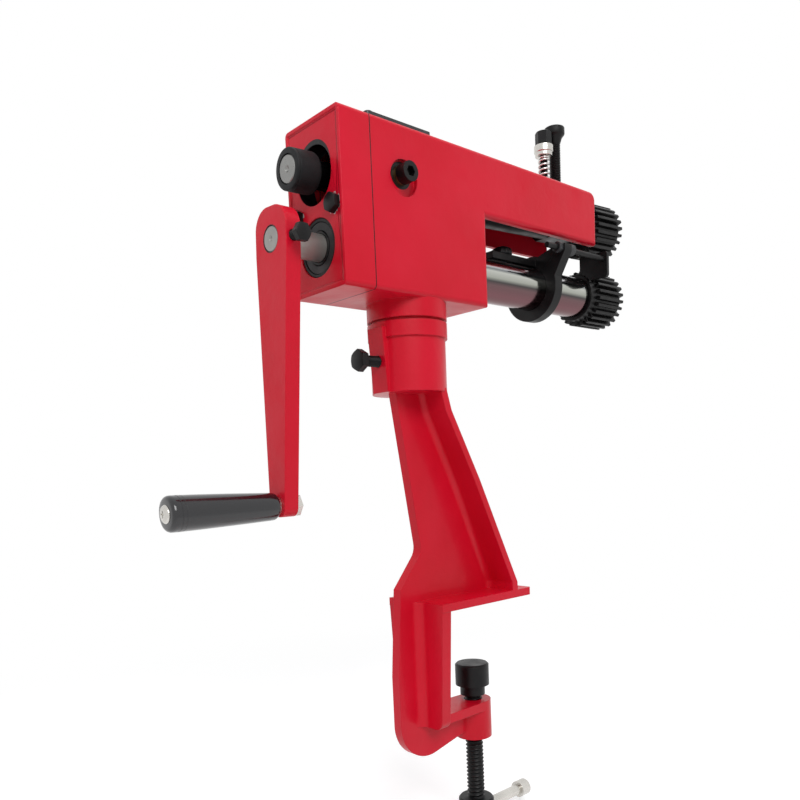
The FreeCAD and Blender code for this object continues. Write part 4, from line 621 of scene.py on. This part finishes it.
def carve(piece, cutters):
    """Cut closed forms out of a piece for good."""
    for cutter in cutters:
        cut = piece.modifiers.new("carve", "BOOLEAN")
        cut.object = cutter
        cut.operation = "DIFFERENCE"
        cut.solver = "EXACT"
    bpy.context.view_layer.update()
    shaped = piece.evaluated_get(bpy.context.evaluated_depsgraph_get())
    piece.data = bpy.data.meshes.new_from_object(shaped)
    piece.modifiers.clear()
    for cutter in cutters:
        bpy.data.objects.remove(cutter)


def add_piece(name, mesh, body, slot, finish=None, replaced=(), cutters=()):
    """A piece of the scene from a bmesh: it rides on a body and has a slot's finish."""
    piece = object_from(name, mesh)
    if cutters:
        carve(piece, cutters)
    piece.data.materials.clear()
    piece.data.materials.append(MATERIALS[finish or slot])
    piece.data.shade_smooth()
    piece.data.set_sharp_from_angle(angle=SHARP_ANGLE)
    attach(piece, body)
    if replaced:
        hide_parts(*replaced)
    return piece


def lathe(mesh, place, profile, segments, hollow=False):
    """Turn a profile of (along, radius) or (along, radius, form) round a place's X axis.
    A form changes the radius by place along and angle, such as a thread or a hexagon."""
    rings = []
    for along, radius, *form in profile:
        ring = []
        for step in range(segments):
            angle = 2 * math.pi * step / segments
            reach = form[0](radius, along, angle) if form else radius
            point = Vector((along, reach * math.cos(angle), reach * math.sin(angle)))
            ring.append(mesh.verts.new(place @ point))
        rings.append(ring)
    pairs = list(zip(rings, rings[1:]))
    if hollow:
        pairs.append((rings[-1], rings[0]))
    else:
        mesh.faces.new(rings[0])
        mesh.faces.new(rings[-1])
    for near, far in pairs:
        for step in range(segments):
            after = (step + 1) % segments
            mesh.faces.new((near[step], near[after], far[after], far[step]))


def stations(start, end, radius, form, step):
    """Profile points from start to end that carry a form, one at each step."""
    count = max(1, round(abs(end - start) / step))
    return [(start + (end - start) * part / count, radius, form) for part in range(count + 1)]


def wave(turns):
    """A triangle wave of one turn: 0 at whole turns and 1 between them."""
    return 1 - abs(2 * (turns % 1.0) - 1)


def thread(pitch, depth):
    def form(radius, along, angle):
        return radius - depth * wave(along / pitch - angle / (2 * math.pi))
    return form


def diamond_knurl(count, lead, depth):
    def form(radius, along, angle):
        turns = count * angle / (2 * math.pi)
        return radius - depth * max(wave(turns + along / lead), wave(turns - along / lead))
    return form


def flutes(count, depth):
    def form(radius, along, angle):
        return radius - depth * abs(math.cos(count * angle / 2)) ** 3
    return form


def hexagon(width):
    """The radius cut down to a hexagon of that width across its flats."""
    def form(radius, along, angle):
        turned = (angle + math.pi / 6) % (math.pi / 3) - math.pi / 6
        return min(radius, width / 2 / math.cos(turned))
    return form


def hex_head(start, end, width):
    """Profile of a hexagon head from its underside to its outer face, which is chamfered."""
    form = hexagon(width)
    corner = width / math.sqrt(3)
    face = width / 2 * HEX_FACE_SHARE
    chamfer = math.copysign((corner - face) * math.tan(HEX_CHAMFER), end - start)
    profile = [(start, HAIR), (start, corner, form)]
    for part in range(HEX_CHAMFER_STEPS + 1):
        share = part / HEX_CHAMFER_STEPS
        profile.append((end - chamfer * (1 - share), corner + (face - corner) * share, form))
    return profile + [(end, HAIR)]


def cross_recess(place, end, span, width, depth):
    """Two crossed bars that cut a driver's cross into an outer face at end along a place's X axis."""
    bars = []
    for across, along in ((span, width), (width, span)):
        mesh = bmesh.new()
        bmesh.ops.create_cube(mesh, size=1.0)
        size = Matrix.Diagonal((depth * 2, across, along, 1.0))
        mesh.transform(place @ Matrix.Translation((end, 0, 0)) @ size)
        bars.append(object_from("cutter", mesh))
    return bars


def at(origin, profile):
    """Profile points written by their distance from an origin."""
    return [(origin + along, *rest) for along, *rest in profile]


def threaded(tip, start, radius, pitch):
    """A threaded shank's profile from its chamfered tip to where its head starts."""
    depth = pitch * THREAD_DEPTH_SHARE
    first = tip + math.copysign(depth, start - tip)
    root = [(tip, HAIR), (tip, radius - depth)]
    return root + stations(first, start, radius, thread(pitch, depth), pitch / THREAD_STEPS)


def hex_bolt(mesh, place, tip, end, kind):
    """A bolt along a place's X axis, from its shank's tip to its head's outer face."""
    width, height, radius, pitch = kind
    seat = end - math.copysign(height, end - tip)
    lathe(mesh, place, threaded(tip, seat, radius, pitch) + hex_head(seat, end, width)[1:], ROUND)


def add_lock_bolt():
    outer, tip = ends("lock_bolt", X)
    mesh = bmesh.new()
    hex_bolt(mesh, LOCK_LINE, tip, outer, LOCK_BOLT)
    add_piece("lock_bolt_cut", mesh, "lock_bolt", "black_oxide", replaced=["lock_bolt"])


def add_cover_bolts():
    outer, tip = ends("cover_bolts", X)
    mesh = bmesh.new()
    for _, y, z in BOLT_PLACES:
        hex_bolt(mesh, axis_frame((0, y, z), X_WAY), tip, outer, COVER_BOLT)
    add_piece("cover_bolts_cut", mesh, "head", "black_oxide", replaced=["cover_bolts"])


def add_set_screw():
    """Screw in the crank arm's edge, square to the arm's lean."""
    outward = (0, CRANK_REACH.z, -CRANK_REACH.y)
    place = axis_frame((middle_of("crank_arm").x, 0, SHAFT_HEIGHT), outward)
    mesh = bmesh.new()
    hex_bolt(mesh, place, *SET_SCREW_REACH, SET_SCREW)
    add_piece("crank_set_screw_cut", mesh, "lower_shaft", "black_oxide", replaced=["crank_set_screw"])


def add_spring_bolt():
    tip, top = ends("spring_bolt", Z)
    mesh = bmesh.new()
    hex_bolt(mesh, SPRING_LINE, tip, top, SPRING_BOLT)
    add_piece("spring_bolt_cut", mesh, "spring_bolt", "black_oxide", replaced=["spring_bolt"])


def add_pressure_screw():
    tip, top = ends("pressure_screw", Z)
    mesh = bmesh.new()
    shank = threaded(tip, top - PRESSURE_NECK, PRESSURE_RADIUS, PRESSURE_PITCH)
    lathe(mesh, PRESSURE_LINE, shank + at(top, PRESSURE_HEAD), ROUND)
    add_piece("pressure_screw_cut", mesh, "pressure_screw", "black_oxide", replaced=["pressure_screw"])


def add_clamp_screw():
    """Screw with a coarse thread and a hub that the tommy bar slides through."""
    low, high = ends("clamp_screw", Z)
    mesh = bmesh.new()
    form = thread(CLAMP_PITCH, CLAMP_THREAD_DEPTH)
    first, last = low + CLAMP_THREAD_START, high - CLAMP_TIP
    shank = stations(first, last, CLAMP_RADIUS, form, CLAMP_PITCH / THREAD_STEPS)
    tip = [(high, CLAMP_TIP_RADIUS), (high, HAIR)]
    lathe(mesh, CLAMP_LINE, at(low, CLAMP_HUB) + shank + tip, ROUND)
    bar_hole = bmesh.new()
    past = BAR_HOLE_LENGTH / 2
    hole = [(-past, HAIR), (-past, BAR_HOLE_RADIUS), (past, BAR_HOLE_RADIUS), (past, HAIR)]
    lathe(bar_hole, axis_frame((0, 0, middle_of("tommy_bar").z), X_WAY), hole, ROUND)
    add_piece("clamp_screw_cut", mesh, "clamp_screw", "black_oxide", replaced=["clamp_screw"],
              cutters=[object_from("cutter", bar_hole)])


def add_shafts():
    """The two shafts with turned ends and centre holes."""
    rear, front = ends("lower_shaft", X)
    step = ends("crank_arm", X)[1]
    mesh = bmesh.new()
    seat = [(step, CRANK_SEAT_RADIUS), (step, SHAFT_RADIUS)]
    lathe(mesh, LOWER_LINE, at(rear, LOWER_REAR_END) + seat + at(front, LOWER_FRONT_END), ROUND)
    add_piece("lower_shaft_turned", mesh, "lower_shaft", "bright_steel", "shaft_grey", ["lower_shaft"])

    mesh = bmesh.new()
    lathe(mesh, UPPER_LINE, at(UPPER_REAR, UPPER_REAR_END) + at(UPPER_FRONT, UPPER_FRONT_END), ROUND)
    add_piece("upper_shaft_turned", mesh, "upper_shaft", "bright_steel", "collar_end", ["upper_shaft"])


def add_collar():
    """Knurled knob on the upper shaft's rear end, with a smooth rim."""
    mesh = bmesh.new()
    first, last = UPPER_REAR + COLLAR_KNURLED[0], UPPER_REAR + COLLAR_KNURLED[1]
    skin = stations(first, last, COLLAR_RADIUS, diamond_knurl(*COLLAR_KNURL), KNURL_STEP)
    profile = at(UPPER_REAR, COLLAR_RIM) + skin + at(UPPER_REAR, COLLAR_HEEL)
    lathe(mesh, UPPER_LINE, profile, FINE, hollow=True)
    add_piece("alignment_collar_knurled", mesh, "upper_shaft", "black_oxide", "cast_black",
              ["alignment_collar"])


def add_bearing():
    """The rear ball bearing's two races, and the seal between them."""
    rear, front = ends("lower_rear_bearing", X)
    mesh = bmesh.new()
    for rear_points, front_points in (OUTER_RACE, INNER_RACE):
        lathe(mesh, LOWER_LINE, at(rear, rear_points) + at(front, front_points), ROUND, hollow=True)
    # The races are near black instead of bright steel: painted shade for the dark gaps at the bore's edge and next
    # to the shaft
    add_piece("bearing_races", mesh, "head", "bright_steel", "black_oxide", ["lower_rear_bearing"])

    mesh = bmesh.new()
    lathe(mesh, LOWER_LINE, at(rear, SEAL[0]) + at(front, SEAL[1]), ROUND, hollow=True)
    add_piece("bearing_seal", mesh, "head", "bright_steel", "bearing_grey")


def add_gauge_nuts():
    """The fence rod's two nuts: a hexagon behind the gauge and a knurled one in front."""
    rear, front = ends("gauge_nuts", X)
    mesh = bmesh.new()
    solid = hex_head(rear + HEX_NUT_HEIGHT, rear, HEX_NUT_WIDTH)
    bored = [(along, max(radius, NUT_BORE), *form) for along, radius, *form in solid]
    lathe(mesh, ROD_LINE, bored, ROUND, hollow=True)
    first, last = front - ROUND_NUT_KNURLED[0], front - ROUND_NUT_KNURLED[1]
    skin = stations(first, last, ROUND_NUT_RADIUS, diamond_knurl(*ROUND_NUT_KNURL), KNURL_STEP)
    start = front - ROUND_NUT_HEIGHT
    profile = [(start, NUT_BORE), (start, ROUND_NUT_FACE), *skin, (front, ROUND_NUT_FACE), (front, NUT_BORE)]
    lathe(mesh, ROD_LINE, profile, FINE, hollow=True)
    add_piece("gauge_nuts_cut", mesh, "gauge", "nickel", "plate_grey", ["gauge_nuts"])


def add_thumb_screw():
    low, top = ends("thumb_screw", Z)
    mesh = bmesh.new()
    form = flutes(THUMB_FLUTES, THUMB_FLUTE_DEPTH)
    stem = [(low, HAIR), (low, THUMB_STEM_RADIUS)]
    rim = [(along, radius, form) for along, radius in THUMB_FLUTED]
    lathe(mesh, THUMB_LINE, stem + at(top, THUMB_UNDERSIDE + rim + THUMB_CROWN), FINE)
    add_piece("thumb_screw_fluted", mesh, "thumb_screw", "black_oxide", replaced=["thumb_screw"])


def add_grip():
    """The turned grip, which narrows towards the crank."""
    outer, inner = ends("grip", X)
    first, first_radius = outer + GRIP_OUTER_END[-1][0], GRIP_OUTER_END[-1][1]
    last, narrowing = inner - GRIP_TAPER_STOP, GRIP_NARROWING
    taper = []
    for part in range(1, GRIP_TAPER_STEPS + 1):
        share = part / GRIP_TAPER_STEPS
        taper.append((first + (last - first) * share, first_radius - narrowing * share ** GRIP_CURVE))
    mesh = bmesh.new()
    profile = at(outer, GRIP_OUTER_END) + taper + at(inner, GRIP_INNER_END)
    lathe(mesh, SPINDLE_LINE, profile, FINE, hollow=True)
    add_piece("grip_turned", mesh, "grip", "grip_black", replaced=["grip"])


def add_grip_spindle():
    outer, tip = ends("grip_spindle", X)
    shoulder = ends("grip", X)[1]
    form = thread(SPINDLE_PITCH, SPINDLE_PITCH * THREAD_DEPTH_SHARE)
    first, last = tip - SPINDLE_THREADED[0], tip - SPINDLE_THREADED[1]
    screw = stations(first, last, SPINDLE_SCREW_RADIUS, form, SPINDLE_THREAD_STEP)
    end = [(tip, SPINDLE_TIP_RADIUS), (tip, HAIR)]
    mesh = bmesh.new()
    lathe(mesh, SPINDLE_LINE, at(outer, SPINDLE_DOME) + at(shoulder, SPINDLE_SHOULDER) + screw + end, ROUND)
    add_piece("grip_spindle_cut", mesh, "lower_shaft", "nickel", replaced=["grip_spindle"],
              cutters=cross_recess(SPINDLE_LINE, outer, *SPINDLE_CROSS))


def add_plate_screws():
    """Two domed screws with a driver's cross that hold the inspection plate."""
    low, top = ends("plate_screws", Z)
    seat = ends("inspection_plate", Z)[1]
    mesh = bmesh.new()
    cutters = []
    for y in (-PLATE_SCREW_SIDE, PLATE_SCREW_SIDE):
        place = axis_frame((middle_of("plate_screws").x, y, 0), Z_WAY)
        shank = [(low, HAIR), (low, PLATE_SHANK_RADIUS)]
        lathe(mesh, place, shank + at(seat, PLATE_SCREW_DOME), ROUND)
        cutters += cross_recess(place, top, *PLATE_SCREW_CROSS)
    add_piece("plate_screws_cut", mesh, "head", "black_oxide", replaced=["plate_screws"], cutters=cutters)


def coil_height(turn, turns, low, high):
    """Height of the wire's centre after some turns: closed coils at both ends and open ones between."""
    closed_rise = 2 * SPRING_WIRE * SPRING_CLOSED_PITCH
    if turn < SPRING_CLOSED:
        return low + closed_rise * turn
    if turn > turns - SPRING_CLOSED:
        return high - closed_rise * (turns - turn)
    share = (turn - SPRING_CLOSED) / SPRING_OPEN
    return low + closed_rise * SPRING_CLOSED + share * (high - low - 2 * closed_rise * SPRING_CLOSED)


def add_spring():
    """Coil spring with closed coils at both ends and open ones between."""
    seat, top = ends("spring", Z)
    turns = 2 * SPRING_CLOSED + SPRING_OPEN
    curve = bpy.data.curves.new("spring", "CURVE")
    curve.dimensions = "3D"
    curve.bevel_depth = SPRING_WIRE
    curve.bevel_resolution = 4
    curve.use_fill_caps = True
    line = curve.splines.new("POLY")
    count = int(turns * SPRING_STEPS)
    line.points.add(count)
    for step in range(count + 1):
        turn = turns * step / count
        height = coil_height(turn, turns, seat + SPRING_WIRE, top - SPRING_WIRE)
        angle = 2 * math.pi * turn
        point = SPRING_LINE @ Vector((height, SPRING_COIL * math.cos(angle), SPRING_COIL * math.sin(angle)))
        line.points[step].co = (*point, 1.0)
    wound = bpy.data.objects.new("spring_curve", curve)
    bpy.context.scene.collection.objects.link(wound)
    bpy.context.view_layer.update()
    data = bpy.data.meshes.new_from_object(wound.evaluated_get(bpy.context.evaluated_depsgraph_get()))
    bpy.data.objects.remove(wound)
    data.materials.clear()
    data.materials.append(MATERIALS["spring_steel"])
    data.shade_smooth()
    spring = bpy.data.objects.new("spring_wound", data)
    bpy.context.scene.collection.objects.link(spring)
    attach(spring, "head")
    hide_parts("spring")
    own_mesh(spring)


def add_light(name, place, target, size, power, mirrored):
    data = bpy.data.lights.new(name, "AREA")
    data.shape = "RECTANGLE"
    data.size, data.size_y = size
    data.energy = power
    light = bpy.data.objects.new(name, data)
    light.location = place
    light.rotation_euler = (Vector(target) - Vector(place)).to_track_quat("-Z", "Y").to_euler()
    light.visible_glossy = mirrored
    bpy.context.scene.collection.objects.link(light)


def when_seen(tree):
    """1 for rays from the camera, a mirror or glass, and 0 for rays that carry light."""
    path = tree.nodes.new("ShaderNodeLightPath")
    seen = path.outputs["Is Camera Ray"]
    for kind in ("Is Glossy Ray", "Is Transmission Ray"):
        either = tree.nodes.new("ShaderNodeMath")
        either.operation = "MAXIMUM"
        tree.links.new(seen, either.inputs[0])
        tree.links.new(path.outputs[kind], either.inputs[1])
        seen = either.outputs[0]
    return seen


def floor_material():
    """Pale and lit near the object, so that its shadow stays, and plain white further away when seen."""
    material = bpy.data.materials.new("floor")
    material.use_nodes = True
    tree = material.node_tree
    tree.nodes.remove(tree.nodes["Principled BSDF"])
    seen = when_seen(tree)
    diffuse = tree.nodes.new("ShaderNodeBsdfDiffuse")
    diffuse.inputs["Color"].default_value = (0.80, 0.80, 0.80, 1.0)
    lift = tree.nodes.new("ShaderNodeEmission")
    lifted = tree.nodes.new("ShaderNodeMath")
    lifted.operation = "MULTIPLY"
    lifted.inputs[1].default_value = FLOOR_LIFT
    tree.links.new(seen, lifted.inputs[0])
    tree.links.new(lifted.outputs[0], lift.inputs["Strength"])
    near = tree.nodes.new("ShaderNodeAddShader")
    tree.links.new(diffuse.outputs[0], near.inputs[0])
    tree.links.new(lift.outputs[0], near.inputs[1])
    white = tree.nodes.new("ShaderNodeEmission")
    place = tree.nodes.new("ShaderNodeTexCoord")
    length = tree.nodes.new("ShaderNodeVectorMath")
    length.operation = "LENGTH"
    tree.links.new(place.outputs["Object"], length.inputs[0])
    away = tree.nodes.new("ShaderNodeMapRange")
    away.interpolation_type = "SMOOTHSTEP"
    away.inputs["From Min"].default_value, away.inputs["From Max"].default_value = FLOOR_FADE
    tree.links.new(length.outputs["Value"], away.inputs["Value"])
    far = tree.nodes.new("ShaderNodeMath")
    far.operation = "MULTIPLY"
    tree.links.new(away.outputs["Result"], far.inputs[0])
    tree.links.new(seen, far.inputs[1])
    mixed = tree.nodes.new("ShaderNodeMixShader")
    tree.links.new(far.outputs[0], mixed.inputs[0])
    tree.links.new(near.outputs[0], mixed.inputs[1])
    tree.links.new(white.outputs[0], mixed.inputs[2])
    tree.links.new(mixed.outputs[0], tree.nodes["Material Output"].inputs["Surface"])
    return material


def add_world():
    world = bpy.data.worlds.new("studio")
    bpy.context.scene.world = world
    world.use_nodes = True
    tree = world.node_tree
    background = tree.nodes["Background"]
    background.inputs["Color"].default_value = (0.80, 0.82, 0.85, 1.0)
    background.inputs["Strength"].default_value = WORLD_STRENGTH
    white = tree.nodes.new("ShaderNodeBackground")
    white.inputs["Color"].default_value = (1.0, 1.0, 1.0, 1.0)
    white.inputs["Strength"].default_value = 1.0
    mixed = tree.nodes.new("ShaderNodeMixShader")
    tree.links.new(when_seen(tree), mixed.inputs[0])
    tree.links.new(background.outputs[0], mixed.inputs[1])
    tree.links.new(white.outputs[0], mixed.inputs[2])
    tree.links.new(mixed.outputs[0], tree.nodes["World Output"].inputs["Surface"])


def add_studio():
    """A plain pale floor under the clamp, a pale world and soft lamps."""
    bpy.context.scene.view_settings.view_transform = "Standard"
    low = CAD_BOX[0][2]
    bpy.ops.mesh.primitive_plane_add(size=FLOOR_SIZE, location=(0.0, 0.0, low - FLOOR_DROP))
    floor = bpy.context.object
    floor.name = "floor"
    floor.data.materials.append(floor_material())
    add_world()
    for lamp in LAMPS:
        add_light(*lamp)


add_camera()
finish_nodes()
add_lock_bolt()
add_cover_bolts()
add_set_screw()
add_spring_bolt()
add_pressure_screw()
add_clamp_screw()
add_shafts()
add_collar()
add_bearing()
add_gauge_nuts()
add_thumb_screw()
add_grip()
add_grip_spindle()
add_plate_screws()
add_spring()
add_studio()
